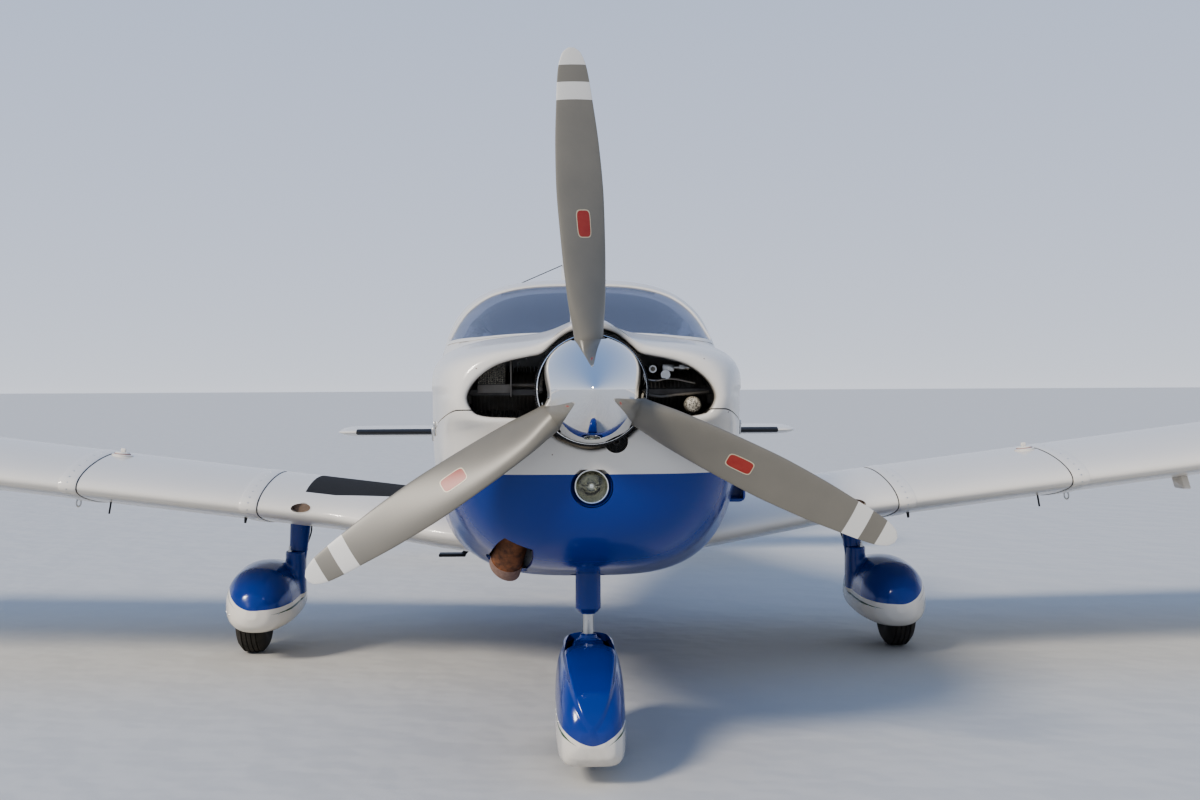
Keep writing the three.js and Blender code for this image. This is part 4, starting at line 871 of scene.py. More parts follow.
def blade_spot(share, angle, proud=0):
    """A point on an upright blade's skin; the leading edge is towards -X."""
    _, chord, thick, pitch = along(BLADE, share)
    turn = math.radians(pitch)
    roundness = min(max((thick - 0.2) / 0.6, 0), 1)
    across = math.cos(angle) * chord / 2
    taper = (1 - 0.32 * math.cos(angle)) * (1 - roundness) + roundness
    deep = math.sin(angle) * (chord * thick * taper / 2 + proud)
    return Vector((
        across * math.cos(turn) - deep * math.sin(turn),
        across * math.sin(turn) + deep * math.cos(turn),
        share * PROPELLER_RADIUS,
    ))


def about_hub(thing, step):
    """Turns a shape drawn upright about the origin to a blade's place round the hub."""
    turn = math.radians(-PROPELLER_TURN - step * 360 / BLADES)
    return moved(thing, Matrix.Translation((0, 0, HUB_HEIGHT)) @ Matrix.Rotation(turn, 4, "Y"))


blade_rows = [0.079, *(0.079 + 0.906 * (i / 60) for i in range(1, 61)), 0.99, 0.995, 0.998, 1.0]
for step in range(BLADES):
    blade = loft(f"blade_{step + 1}", [
        [blade_spot(share, angle) for angle in even_angles(56)] for share in blade_rows])
    about_hub(blade, step)
    dress(blade, "propeller", "blade_paint", blade_grey, blade_black,
          replaces=(f"propeller_blade_{step + 1}",), crease=60)
    assign(blade, 1, lambda spot, normal: normal.y > 0.12)
    for name, half, proud, material in (
        ("label_border", LABEL_HALF, 0.5, label_edge),
        ("label", [size - 3 for size in LABEL_HALF], 0.8, label_red),
    ):
        bm = bmesh.new()
        bmesh.ops.create_grid(bm, x_segments=10, y_segments=14, size=1)
        for vertex in bm.verts:
            u, v = vertex.co.x, vertex.co.y
            squeeze = 1
            if u or v:
                squeeze = 1 / max((abs(u) ** 5 + abs(v) ** 5) ** 0.2, 1e-6) * max(abs(u), abs(v))
            reach = LABEL_SHARE + v * squeeze * half[1] / PROPELLER_RADIUS
            chord = along(BLADE, reach)[1]
            vertex.co = blade_spot(reach, -math.acos(u * squeeze * half[0] * 2 / chord), proud)
        bmesh.ops.recalc_face_normals(bm, faces=bm.faces)
        patch = made(f"{name}_{step + 1}", bm)
        if sum(face.normal.y for face in patch.data.polygons) > 0:
            patch.data.flip_normals()
        dress(about_hub(patch, step), "propeller", "blade_paint", material)

ogive = [
    (SPINNER_RADIUS * math.sin(k / OGIVE_ROWS * math.pi / 2) ** 0.86,
     SPINNER_TIP + (OGIVE_END - SPINNER_TIP) * (k / OGIVE_ROWS) ** 1.12)
    for k in range(OGIVE_ROWS + 1)
]
ogive_inside = [
    (max(r - SPINNER_WALL, 0), s + 6 * (1 - k / OGIVE_ROWS)) for k, (r, s) in enumerate(ogive)]
spinner = turned("spinner_shell", [
    *ogive, (SPINNER_RADIUS, SPINNER_BACK - 5), (SPINNER_RADIUS + 3, SPINNER_BACK - 3),
    (SPINNER_RADIUS + 3, SPINNER_BACK), (80, SPINNER_BACK), (80, SPINNER_BACK - 5),
    (SPINNER_RADIUS - SPINNER_WALL, SPINNER_BACK - 5), *reversed(ogive_inside),
], steps=120)
bores = [about_hub(rod("bore", Vector((0, 0, 78)), Vector((0, 0, 260)), 54), step) for step in range(BLADES)]
carve(spinner, *bores)
dress(spinner, "propeller", "polished_chrome", chrome, replaces=("spinner",), crease=40)
screws = []
for k in range(SPINNER_SCREWS):
    turn = k * math.tau / SPINNER_SCREWS
    out = Vector((math.cos(turn), 0, math.sin(turn)))
    past_blade = (math.degrees(turn) - 90 + PROPELLER_TURN) % (360 / BLADES)
    if 22 < past_blade < 360 / BLADES - 22:
        spot = Vector((0, SCREW_STATION, HUB_HEIGHT)) + out * SPINNER_RADIUS
        screws.append((rod("screw", spot - out * 3, spot + out * 1.1, 4.6, 3.4, 12), 0))
dress(gather("spinner_screws", *screws), "propeller", "bare_steel", steel)
hub = frame["nodes"]["propeller_hub"]
hub.data.materials.clear()
hub.data.materials.append(steel)

# Cabin: riveted aluminium skins over frames, 40 mm deep with their lining, with holes for two
# windshield panes, the side windows and the two doors on the right side.
CABIN_START, CABIN_END = 1108, 4350
WALL, FLOOR_DEPTH = 40, 95
POST_HALF = 26
WINDOW_CORNER, DOOR_CORNER = 55, 110
DOOR_GAP, DOOR_DEPTH = 9, 25
BODY_SIDES = 144
WINDSHIELD = ((1496, 1446), (1745, 1424), (1908, 1552), (1978, 1660), (1982, 1900), (1480, 1900))
FRONT_WINDOW = ((1996, 1300), (2130, 1566), (2738, 1596), (2752, 1300))
REAR_WINDOW = ((2862, 1300), (2850, 1612), (3325, 1575), (3372, 1300))
AFT_WINDOW = ((3462, 1300), (3440, 1552), (3590, 1515), (3830, 1300))
DOOR = ((1930, 890), (1930, 1330), (2100, 1640), (2806, 1640), (2806, 890))
BAGGAGE_DOOR = ((3740, 790), (3740, 1250), (4262, 1215), (4262, 790))
PANES = (
    ("windshield_left", WINDSHIELD, 1), ("windshield_right", WINDSHIELD, -1),
    ("window_left_front", FRONT_WINDOW, 1), ("window_left_rear", REAR_WINDOW, 1),
    ("window_left_aft", AFT_WINDOW, 1), ("door_window", FRONT_WINDOW, -1),
    ("window_right_rear", REAR_WINDOW, -1), ("window_right_aft", AFT_WINDOW, -1),
)
lining, tree = surface("cabin_lining", (0.34, 0.33, 0.31), 0.8, Sheen_Weight=0.3)
bumped(tree, noise(tree, 350.0), 0.3)
tinted_glass, tree = surface(
    "tinted_perspex", (0.54, 0.59, 0.74), 0.02, Transmission_Weight=0.88, IOR=1.49)
bumped(tree, noise(tree, 2.5, 1.0), 0.04, 0.01)
BODY_ANGLES = even_angles(BODY_SIDES)


def body_loft(name, start, end, skin=0, floor=None, pace=40):
    rings = [body_ring(s, BODY_ANGLES, skin, floor) for s in even_steps(start, end, pace)]
    return loft(name, rings)


def shell(name, outer, inner, start=CABIN_START, end=CABIN_END, floor=None):
    return carve(
        body_loft(name, start, end, outer),
        body_loft("inside", start - 5, end + 5, inner, floor, 80))


def offset(outline, distance):
    """A side view moved inwards by a distance."""
    spots = [Vector(p) for p in outline]
    area = sum(a.x * b.y - b.x * a.y for a, b in zip(spots, spots[1:] + spots[:1]))
    turn = math.copysign(distance, area)
    moved = []
    for i, spot in enumerate(spots):
        a = (spot - spots[i - 1]).normalized()
        b = (spots[(i + 1) % len(spots)] - spot).normalized()
        inward_a, inward_b = Vector((-a.y, a.x)) * turn, Vector((-b.y, b.x)) * turn
        reach = 1 + inward_a.dot(inward_b) / distance**2
        moved.append(tuple(spot + (inward_a + inward_b) / reach))
    return moved


def hole(outline, side, inwards=0.0, corner=WINDOW_CORNER):
    inner = offset(outline, inwards) if inwards else outline
    near = (POST_HALF + inwards) * side
    far = 900 * side
    return prism("hole", inner, min(near, far), max(near, far), corner)


hull = shell("cabin_hull", 0, WALL, floor=FLOOR_DEPTH)
carve(
    hull,
    *(hole(outline, side) for name, outline, side in PANES if name != "door_window"),
    hole(DOOR, -1, -DOOR_GAP, DOOR_CORNER + DOOR_GAP),
    hole(BAGGAGE_DOOR, -1, -DOOR_GAP, DOOR_CORNER + DOOR_GAP),
)
dress(hull, "airframe", "white_paint", hull_paint, lining,
      replaces=("cabin_floor", "cabin_roof", "cabin_side_left", "cabin_side_right"))


def is_lining(spot, normal):
    return Vector((normal.x, normal.z)).dot(Vector((spot.x, spot.z - 1150))) < -60


assign(hull, 1, is_lining)

# Windows: blue-tinted acrylic panes, 8 mm thick, set flush behind raised retaining strips that
# are screwed through the skin all round.
PANE_DEPTH, PANE_THICKNESS, STRIP_WIDTH = 5, 7, 17
glass_skin = shell("glass_skin", PANE_DEPTH, PANE_DEPTH + PANE_THICKNESS, CABIN_START + 60, CABIN_END - 60)
strip_skin = shell("strip_skin", -1.6, 5.5, CABIN_START + 40, CABIN_END - 40)
for name, outline, side in PANES:
    body = "cabin_door" if name == "door_window" else "airframe"
    pane = shared(copy_of(glass_skin, f"{name}_pane"), hole(outline, side, 0.5))
    dress(pane, body, "glass", tinted_glass, replaces=(name,))
    strip = shared(copy_of(strip_skin, f"{name}_strip"), hole(outline, side, 0.6))
    carve(strip, hole(outline, side, STRIP_WIDTH, WINDOW_CORNER - STRIP_WIDTH))
    dress(strip, body, "white_paint", hull_paint)

# Doors: a cabin door over the wing and a baggage door behind it, both on the right side and hinged at their
# front edges, with recessed handles and a lock.
DOOR_HINGE_X, DOOR_REACH = -581, 881
BAGGAGE_HINGE_X, BAGGAGE_REACH = -504, 532
door_skin = shell("door_skin", 0, DOOR_DEPTH)


def door(name, outline, hinge_x, reach):
    hinge = outline[0][0] - DOOR_GAP / 2
    leaf = shared(copy_of(door_skin, name), hole(outline, -1, 0, DOOR_CORNER))
    sweep = rod("sweep", (hinge_x, hinge, 600), (hinge_x, hinge, 1800), reach, sides=160)
    return shared(leaf, sweep)


cabin_leaf = carve(door("cabin_door_leaf", DOOR, DOOR_HINGE_X, DOOR_REACH), hole(FRONT_WINDOW, -1))
baggage_leaf = door("baggage_door_leaf", BAGGAGE_DOOR, BAGGAGE_HINGE_X, BAGGAGE_REACH)
for leaf, body in ((cabin_leaf, "cabin_door"), (baggage_leaf, "baggage_door")):
    dress(leaf, body, "white_paint", hull_paint, lining, replaces=(body,))
    assign(leaf, 1, is_lining)
for name, body, station, height in (
    ("cabin_door_handle", "cabin_door", 2680, 1180), ("baggage_door_handle", "baggage_door", 4130, 1040),
):
    angle = math.pi - math.asin((height - HUB_HEIGHT) / 560)
    spot, out = surface_spot(station, angle)
    grip = gather(
        name,
        (softened(block("plate", (-2, -62, -20), (2.5, 62, 20)), 1.5), 0),
        (softened(block("lever", (2.4, -50, -9), (9, 44, 9)), 3, 3), 0),
        (rod("lock", (0, 52, -34), (4, 52, -34), 9, 8, 24), 0),
    )
    dress(moved(grip, aimed(spot, out)), body, "polished_chrome", steel)
for scratch in (glass_skin, strip_skin, door_skin):
    bpy.data.objects.remove(scratch)

# Tail cone: a tapering riveted tube that carries the fin and the tailplane's bearings.
TAIL_CONE_END = 6560
TAILPLANE_PIVOT = (6420, 940)
tail_tube = carve(
    body_loft("tail_tube", CABIN_END + 0.4, TAIL_CONE_END),
    body_loft("inside", CABIN_END - 5, 6100, 14, pace=100),
    rod("bore", (-900, *TAILPLANE_PIVOT), (900, *TAILPLANE_PIVOT), 28),
)
dress(tail_tube, "airframe", "white_paint", hull_paint, replaces=("tail_cone",))

# Fin and rudder: a swept fin with a short dorsal fillet, and a corrugated rudder behind its hinge
# line. The blue of the belly sweeps up over them, and a red beacon stands on the tip.
FIN = (
    (1120, 5560, 6985, 110), (1260, 5640, 6990, 110), (1330, 5780, 6996, 108),
    (1430, 5865, 7003, 104), (2190, 6390, 7080, 70), (2222, 6425, 7072, 52), (2235, 6480, 7050, 20),
)
RUDDER_BASE, RUDDER_HINGE = 1135, ((6652, 1000), (6812, 2300))
RUDDER_NOSE = (24, 27)
BEACON_FOOT = (0, 6655, 0)
MOVING_GAP = 7


def aerofoil(thickness, camber, count):
    """Shares of the chord and heights, from the trailing edge over the top and back below."""
    outline = []
    for k in range(count):
        angle = 0.02 + (math.tau - 0.04) * k / (count - 1)
        x = min(max((1 + math.cos(angle)) / 2, 1e-6), 1 - 1e-6)
        half = thickness * (1.0655 * x**0.5 - 0.4754 * x + 1.7691 * x**2 - 5.3823 * x**3 + 3.0358 * x**4)
        line = -camber * (x * math.log2(x) + (1 - x) * math.log2(1 - x))
        outline.append((x, line + math.copysign(half, math.sin(angle))))
    return outline


def fin_ring(height):
    _, lead, trail, thick = along(FIN, height)
    return [Vector((y * (trail - lead), lead + x * (trail - lead), height))
            for x, y in aerofoil(thick / (trail - lead), 0, 72)]


def tail_swoosh(tree):
    """Blue rises over the rudder and the fin's trailing part behind a leaning line."""
    _, station, height = coordinates(tree)
    lean = calc(tree, "MULTIPLY", calc(tree, "SUBTRACT", height, 1.1), 0.62)
    behind = calc(tree, "GREATER_THAN", calc(tree, "SUBTRACT", station, lean), 6.3)
    below_tip = calc(tree, "LESS_THAN", height, 2.02)
    return calc(tree, "MULTIPLY", behind, below_tip)


tail_paint = gloss_paint("white_and_blue_tail_paint", tail_swoosh, speckled=False)
hinge_low, hinge_high = ((0, s, z) for s, z in RUDDER_HINGE)
fin_rows = (*even_steps(1120, 2190, 30), 2205, 2215, 2222, 2228, 2232, 2235)
fin_whole = loft("fin_whole", [fin_ring(z) for z in fin_rows])
rudder_blade = shared(
    copy_of(fin_whole, "rudder_blade"),
    prism("behind", (*RUDDER_HINGE, (7300, 2300), (7300, 1000)), -900, 900))
rudder_nose = shared(copy_of(fin_whole, "nose"), rod("round", hinge_low, hinge_high, *RUDDER_NOSE))
joined(rudder_blade, rudder_nose)
shared(rudder_blade, block("room", (-900, 5000, RUDDER_BASE), (900, 7300, 2400)))
dress(rudder_blade, "rudder", "white_paint", tail_paint, replaces=("rudder",))
fin_blade = shared(fin_whole, prism("ahead", (*RUDDER_HINGE, (5000, 2300), (5000, 1000)), -900, 900))
fin_blade.name = "fin_blade"
carve(
    fin_blade,
    rod("nose_room", hinge_low, hinge_high, *(radius + MOVING_GAP for radius in RUDDER_NOSE)),
    block("below_rudder", (-900, 6400, 1000), (900, 7300, RUDDER_BASE - MOVING_GAP)),
    body_loft("tail_top", 5400, TAIL_CONE_END + 2),
)
dress(fin_blade, "airframe", "white_paint", tail_paint, replaces=("fin",))
beacon_red, tree = surface(
    "red_beacon_glass", (0.75, 0.02, 0.012), 0.06, Transmission_Weight=0.6, IOR=1.45)
bumped(tree, texture(tree, "Wave", Scale=90.0, bands_direction="Z"), 0.5)
beacon = turned("beacon_dome", [
    (0, 2240.4), (30, 2240.4), (30, 2246), (27, 2248), (27, 2262),
    *((27 * math.cos(a), 2262 + 27 * math.sin(a)) for a in (0.3, 0.6, 0.9, 1.2)), (0, 2289.4),
], BEACON_FOOT, "Z", 40)
dress(beacon, "airframe", "beacon_glass", beacon_red, replaces=("beacon",))
pad_profile = [(0, 2180), (12, 2180), (32, 2232), (32, 2240), (0, 2240)]
dress(turned("beacon_pad", pad_profile, BEACON_FOOT, "Z", 40), "airframe", "white_paint", white_paint)

# Tailplane: one all-moving surface through the tail cone on a steel tube, with an anti-servo tab
# along its back. Its leading edge wears a black rubber strip, and its tips are white.
TAILPLANE = (
    (0, 6200, 6960, 78), (1468, 6200, 6960, 74), (1563, 6215, 6950, 66), (1618, 6262, 6925, 44),
    (1640, 6330, 6880, 12),
)
TAB_HALF, TAB_STATION, TAB_NOSE = 1180, 6838, 11
NOTCH_HALF, NOTCH_BACK = 152, 6604
STRIP_END, STRIP_BACK = 1490, 6262


def tailplane_ring(x):
    _, lead, trail, thick = along(TAILPLANE, abs(x))
    return [Vector((x, lead + a * (trail - lead), TAILPLANE_PIVOT[1] + z * (trail - lead)))
            for a, z in aerofoil(thick / (trail - lead), 0, 72)]


half_rows = [*even_steps(0, 1468, 60), 1500, 1530, 1563, 1580, 1600, 1618, 1627, 1634, 1638, 1640]
rows = (*(-x for x in reversed(half_rows[1:])), *half_rows)
plane = loft("tailplane_blade", [tailplane_ring(x) for x in rows])
tab_room = block("tab_room", (-TAB_HALF, TAB_STATION, 700), (TAB_HALF, 7100, 1200))
tab = shared(copy_of(plane, "tab_blade"), tab_room)
axle = (TAB_STATION, TAILPLANE_PIVOT[1])
joined(tab, rod("nose", (-TAB_HALF, *axle), (TAB_HALF, *axle), TAB_NOSE))
dress(tab, "tailplane_tab", "white_paint", white_paint, replaces=("tailplane_tab",))
gap = MOVING_GAP
carve(
    plane,
    block("notch", (-NOTCH_HALF, 6000, 700), (NOTCH_HALF, NOTCH_BACK, 1200)),
    block("tab_gap", (-TAB_HALF - gap, TAB_STATION, 700), (TAB_HALF + gap, 7100, 1200)),
    rod("nose_gap", (-TAB_HALF - gap, *axle), (TAB_HALF + gap, *axle), TAB_NOSE + gap),
)
tube = rod("tube", (-NOTCH_HALF - 40, *TAILPLANE_PIVOT), (NOTCH_HALF + 40, *TAILPLANE_PIVOT), 22)
boot_rubber, tree = surface("black_boot_rubber", (0.015, 0.015, 0.017), 0.55)
bumped(tree, noise(tree, 120.0, 4.0), 0.2)
plane = gather("tailplane_blade", (plane, 0), (tube, 2))
dress(plane, "tailplane", "white_paint", white_paint, boot_rubber, steel, replaces=("tailplane",))
assign(plane, 1, lambda spot, normal: spot.y < STRIP_BACK and abs(spot.x) < STRIP_END and (
    abs(spot.x) > NOTCH_HALF + 1 and abs(normal.x) < 0.9))

# Wings: each is one riveted panel set at its dihedral, drawn flat and turned up at the root, with
# a leading edge tank strapped in by two bands, a moulded tip, a flap and an aileron.
WING_HEIGHT, DIHEDRAL = 581, math.radians(7)
WING_CAMBER = 0.022
PANEL_END = 9750 / 2 / math.cos(DIHEDRAL) - 175
# Columns: distance out, leading edge, chord, thickness as a share of the chord, twist.
WING = (
    (400, 1725, 1855, 0.14, 3.2), (600, 1760, 1820, 0.14, 3.2), (1080, 1980, 1600, 0.145, 3),
    (PANEL_END, 1980, 1600, 0.145, 1.8),
)
# Columns: distance from the panel's end, leading edge moved aft, chord, share of the thickness.
WING_TIP = (
    (0.4, 0, 1600, 1), (70, 18, 1575, 0.97), (125, 70, 1500, 0.8), (158, 150, 1390, 0.52),
    (170, 230, 1280, 0.22),
)
TANK = (1436, 2182, 2560)
FLAP = (640, 2830, 3292)
AILERON = (2860, 4560, 3262)
WING_FRONT, WING_BACK = 1700, 3800
WALK = (655, 1195, 2135, 3180)
SECTION_SIDES = 110
INLET_SPOT, INLET_DEEP, INLET_HOLE, INLET_RIM = Vector((1193, 1992, 745)), 26, (41, 18.5), (44, 21)
RIB_GAP, STRINGER_GAP, RIVET_PITCH, RIVET_RADIUS = 0.37, 0.4, 0.032, 0.0022


def wing_ring(x, proud=0.0, chord_share=1.0, aft=0.0, thin=1.0):
    for a, b in zip(WING, WING[1:]):
        if x <= b[0] or b is WING[-1]:
            t = min((x - a[0]) / (b[0] - a[0]), 1)
            lead, chord, thick, twist = (p + (q - p) * t for p, q in zip(a[1:], b[1:]))
            break
    turn, lead, chord = math.radians(twist), lead + aft, chord * chord_share
    ring = []
    for share, height in aerofoil(thick * thin / chord_share, WING_CAMBER, SECTION_SIDES):
        height += math.copysign(proud / chord, height)
        share -= proud / chord if share < 0.02 else 0
        ring.append(Vector((
            x, lead + chord * (share * math.cos(turn) + height * math.sin(turn)),
            chord * (height * math.cos(turn) - share * math.sin(turn)))))
    return ring


def edge_heights(x, station):
    """The heights of the wing's lower and upper skins at a distance out and a station."""
    heights = [z for _, z in sorted((abs(p.y - station), p.z) for p in wing_ring(x))[:6]]
    return min(heights), max(heights)


def raised(thing):
    """Turns a shape drawn flat along the wing up to its dihedral."""
    return moved(thing, Matrix.Translation((0, 0, WING_HEIGHT)) @ Matrix.Rotation(-DIHEDRAL, 4, "Y"))


def riveted(material, *grids):
    """Presses flush rivets into a paint; each grid gives the spacing along x and by station."""
    tree = material.node_tree
    heads = 0.0
    for grid in grids:
        off = [
            calc(tree, "MULTIPLY", gap, calc(
                tree, "SUBTRACT", calc(tree, "FRACT", calc(tree, "DIVIDE", value, gap)), 0.5))
            for value, gap in zip(coordinates(tree), grid)
        ]
        far = calc(tree, "SQRT", calc(tree, "ADD", *(calc(tree, "MULTIPLY", o, o) for o in off)))
        heads = calc(tree, "MAXIMUM", heads, calc(tree, "LESS_THAN", far, RIVET_RADIUS))
    below = source_of(tree, "Normal")
    feed(tree, "Normal", node(tree, "Bump", {
        "Height": heads, "Strength": 0.35, "Distance": 0.0012, "Normal": below}, invert=True))
    return material


wing_paint = riveted(
    gloss_paint("white_riveted_wing_paint", speckled=False),
    (RIB_GAP, RIVET_PITCH), (RIVET_PITCH, STRINGER_GAP))
walk_grit, tree = surface("black_walkway_grit", (0.02, 0.02, 0.021), 0.92)
bumped(tree, noise(tree, 500.0), 0.8, 0.002)
cap_red, tree = surface("faded_red_gasket", (0.36, 0.16, 0.15), 0.6)
tinted(tree, noise(tree, 30.0, 4.0), (0.4, 0.22, 0.2), (0.28, 0.09, 0.08))


def wing_rows(start, end, pace):
    marks = {row[0] for row in WING} | {WALK[0], WALK[1], *TANK[:2], *FLAP[:2], *AILERON[:2]}
    known = sorted(m for m in marks if start < m < end)
    rows = []
    for a, b in zip((start, *known), (*known, end)):
        rows += even_steps(a, b, pace)[:-1]
    return [*rows, end]


whole_wing = loft("whole_wing", [wing_ring(x) for x in wing_rows(400, PANEL_END, 90)])


def sliced(thing, axis, mark):
    """Divides a piece's faces along a plane across one axis, in millimetres."""
    bm = bmesh.new()
    bm.from_mesh(thing.data)
    normal = Vector((axis == 0, axis == 1, 0))
    bmesh.ops.bisect_plane(
        bm, geom=bm.verts[:] + bm.edges[:] + bm.faces[:], dist=1e-6, plane_co=PLACE @ (normal * mark),
        plane_no=normal)
    bm.to_mesh(thing.data)
    bm.free()


def slab(x_low, x_high, front, back, gap=0):
    return block("slab", (x_low - gap, front - gap, -400), (x_high + gap, back + gap, 400))


def hinge_line(surface_span, share):
    spots = []
    for x in surface_span[:2]:
        low, high = edge_heights(x, surface_span[2])
        spots.append(Vector((x, surface_span[2], low + (high - low) * share)))
    return spots, (high - low) / 2


(aileron_in, aileron_out), nose_half = hinge_line(AILERON, 0.5)
panel = carve(
    copy_of(whole_wing, "panel"),
    slab(*FLAP, WING_BACK), slab(*AILERON, WING_BACK),
    rod("nose_room", aileron_in, aileron_out, nose_half - 3 + MOVING_GAP),
    slab(TANK[0], TANK[1], WING_FRONT, TANK[2], 1),
)
tank = shared(copy_of(whole_wing, "tank"), slab(TANK[0], TANK[1], WING_FRONT, TANK[2]))
flap_room = slab(FLAP[0] + gap, FLAP[1] - gap, FLAP[2] + gap, WING_BACK)
flap = shared(copy_of(whole_wing, "flap"), flap_room)
aileron_room = slab(AILERON[0] + gap, AILERON[1] - gap, AILERON[2], WING_BACK)
aileron = shared(copy_of(whole_wing, "aileron"), aileron_room)
out = (aileron_out - aileron_in).normalized()
joined(aileron, rod("nose", aileron_in + out * gap, aileron_out - out * gap, nose_half - 3))


def oval_rod(name, centre, near, far, half_width, half_height):
    """An oval rod that runs fore and aft through a point."""
    return moved(
        rod(name, (0, near, 0), (0, far, 0), 1),
        Matrix.Translation(centre) @ Matrix.Diagonal((half_width, 1, half_height, 1)))


def tip_ring(out):
    _, aft, chord, share = along(WING_TIP, out)
    ring = wing_ring(PANEL_END, chord_share=chord / 1600, aft=aft, thin=share)
    return [Vector((PANEL_END + out, p.y, p.z)) for p in ring]


tip_rows = (0.4, 20, 40, 60, 75, 90, 105, 118, 130, 140, 148, 155, 161, 166, 170)
tip = loft("tip", [tip_ring(x) for x in tip_rows])
bands = []
for at in (TANK[0] - 10, TANK[1] + 10):
    profile = ((-38, 0.2), (-36, 2.6), (-28, 4.2), (-10, 4.8), (10, 4.8), (28, 4.2), (36, 2.6), (38, 0.2))
    bands.append((loft("band", [wing_ring(at + x, proud=proud) for x, proud in profile]), 0))
    bands.append((loft("seal", [wing_ring(at + x, proud=1.2) for x in (-41, -39, -37)]), 1))
for band, _ in bands:
    carve(band, slab(0, 5000, 2620, 4000))
for at in (TANK[0] - 10, TANK[1] + 10):
    spots = [p for p in wing_ring(at, proud=4.4) if p.y < 2590][::3]
    for before, spot, after in zip(spots, spots[1:], spots[2:]):
        out = Vector((0, (after - before).z, -(after - before).y)).normalized()
        out = out if out.dot(spot - Vector((at, 2300, -40))) > 0 else -out
        bands.append((rod("screw", spot - out * 3, spot + out * 1.1, 4.4, 3.4, 10), 2))
wing_shapes = {
    "panel": panel, "tank": tank, "tip": tip, "flap": flap, "aileron": aileron,
    "tank_bands": gather("tank_bands", *bands),
}
for shape in wing_shapes.values():
    raised(shape)
carve(panel, body_loft("body", CABIN_START, CABIN_END),
      oval_rod("inlet_hole", INLET_SPOT, -40, INLET_DEEP, *INLET_HOLE))
whole_raised = raised(copy_of(whole_wing, "whole_raised"))
bpy.data.objects.remove(whole_wing)
for name, shape in wing_shapes.items():
    for side, twin in (("right", mirrored(shape, f"{name}_right")), ("left", shape)):
        twin.name = f"wing_{name}_{side}" if name != "flap" and name != "aileron" else f"{name}_{side}_skin"
        body = f"{name}_{side}" if name in ("flap", "aileron") else "airframe"
        stands_for = {
            "panel": (f"wing_{side}",), "tank": (f"fuel_tank_{side}",), "tip": (f"wing_tip_{side}",),
            "flap": (f"flap_{side}",), "aileron": (f"aileron_{side}",),
        }.get(name, ())
        if (name, side) == ("panel", "right"):
            for axis, marks in ((0, (-WALK[0], -WALK[1])), (1, WALK[2:])):
                for mark in marks:
                    sliced(twin, axis, mark)
        coats = (wing_paint if name != "tip" else white_paint, walk_grit)
        if name == "tank_bands":
            coats = (white_paint, boot_rubber, steel)
        dress(twin, body, "white_paint", *coats, replaces=stands_for, crease=28)
        if (name, side) == ("panel", "right"):
            assign(twin, 1, lambda spot, normal: normal.z > 0.5 and (
                WALK[0] < -spot.x < WALK[1] and WALK[2] < spot.y < WALK[3]))

# Wing fittings: fuel caps with lifting tabs, cabin air inlets in the leading edge, tie-down rings,
# drains, vents and a pitot mast, each riveted or screwed to the skins.
CAP_OUT, CAP_STATION = 2102, 2440
# The base, the gasket and the cap: radii and heights above the skin, and the material's place.
CAP_RINGS = (
    (((0, -6), (46, -6), (46, 4), (41, 7), (0, 7)), 0),
    (((0, 6), (37, 6), (37, 9.5), (0, 9.5)), 1),
    (((0, 9), (34, 9), (34, 13), (28, 17), (0, 17)), 0),
)
inlet_mesh, tree = surface("inlet_duct", (0.21, 0.15, 0.105), 0.8)
tinted(tree, texture(tree, "Voronoi", Scale=330.0), (0.1, 0.07, 0.05), (0.27, 0.2, 0.15))


for side, sign in SIDES:
    foot = Vector((CAP_OUT, CAP_STATION, edge_heights(CAP_OUT, CAP_STATION)[1] - 2))
    cap = gather(
        f"fuel_cap_{side}",
        *((turned("cap", profile, foot, "Z", 48), index) for profile, index in CAP_RINGS),
        (softened(block("tab", foot + Vector((-14, -6, 15)), foot + Vector((9, 6, 34))), 4, 3), 0),
    )
    raised(cap)
    ring_foot, drain_foot, vent_foot = (
        Vector((x, station, edge_heights(x, station)[0]))
        for x, station in ((2285, 2480), (1470, 2200), (2070, 2230)))
    circle = [ring_foot + Vector((10 * math.sin(a), 0, 18 * math.cos(a) - 16))
              for a in (k * math.tau / 12 for k in range(13))]
    ring = gather(
        f"tie_down_{side}",
        (pipe("ring", circle, 3.6), 0),
        (rod("stem", ring_foot + Vector((0, 0, 6)), ring_foot - Vector((0, 0, 2)), 6, sides=16), 0),
    )
    raised(ring)
    drain = gather(
        f"fuel_drain_{side}",
        (rod("drain", drain_foot + Vector((0, 0, 8)), drain_foot - Vector((0, 0, 18)), 7, 5, 20), 0),
        (rod("vent", vent_foot + Vector((0, 0, 6)), vent_foot - Vector((0, 8, 44)), 4, sides=12), 0),
    )
    raised(drain)
    duct = oval_rod("duct", INLET_SPOT, INLET_DEEP - 1.5, INLET_DEEP + 2, *INLET_RIM)
    collar = shared(oval_rod("collar", INLET_SPOT, -40, 20, *INLET_RIM), copy_of(whole_raised, "skin"))
    collar.data.transform(Matrix.Translation((0, -0.0016, 0.0004)))
    carve(collar, oval_rod("collar_bore", INLET_SPOT, -60, 60, *INLET_HOLE))
    mouth = gather("mouth", (duct, 0), (collar, 1))
    for thing, slot, materials in (
        (cap, "white_paint", (white_paint, cap_red)), (ring, "bare_steel", (steel,)),
        (drain, "black_paint", (black_plastic,)), (mouth, "black_paint", (inlet_mesh, white_paint)),
    ):
        thing.name = f"air_inlet_{side}" if thing is mouth else thing.name
        if sign < 0:
            name = thing.name
            twin = mirrored(thing, name + "_set")
            bpy.data.objects.remove(thing)
            thing = twin
        dress(thing, "airframe", slot, *materials)

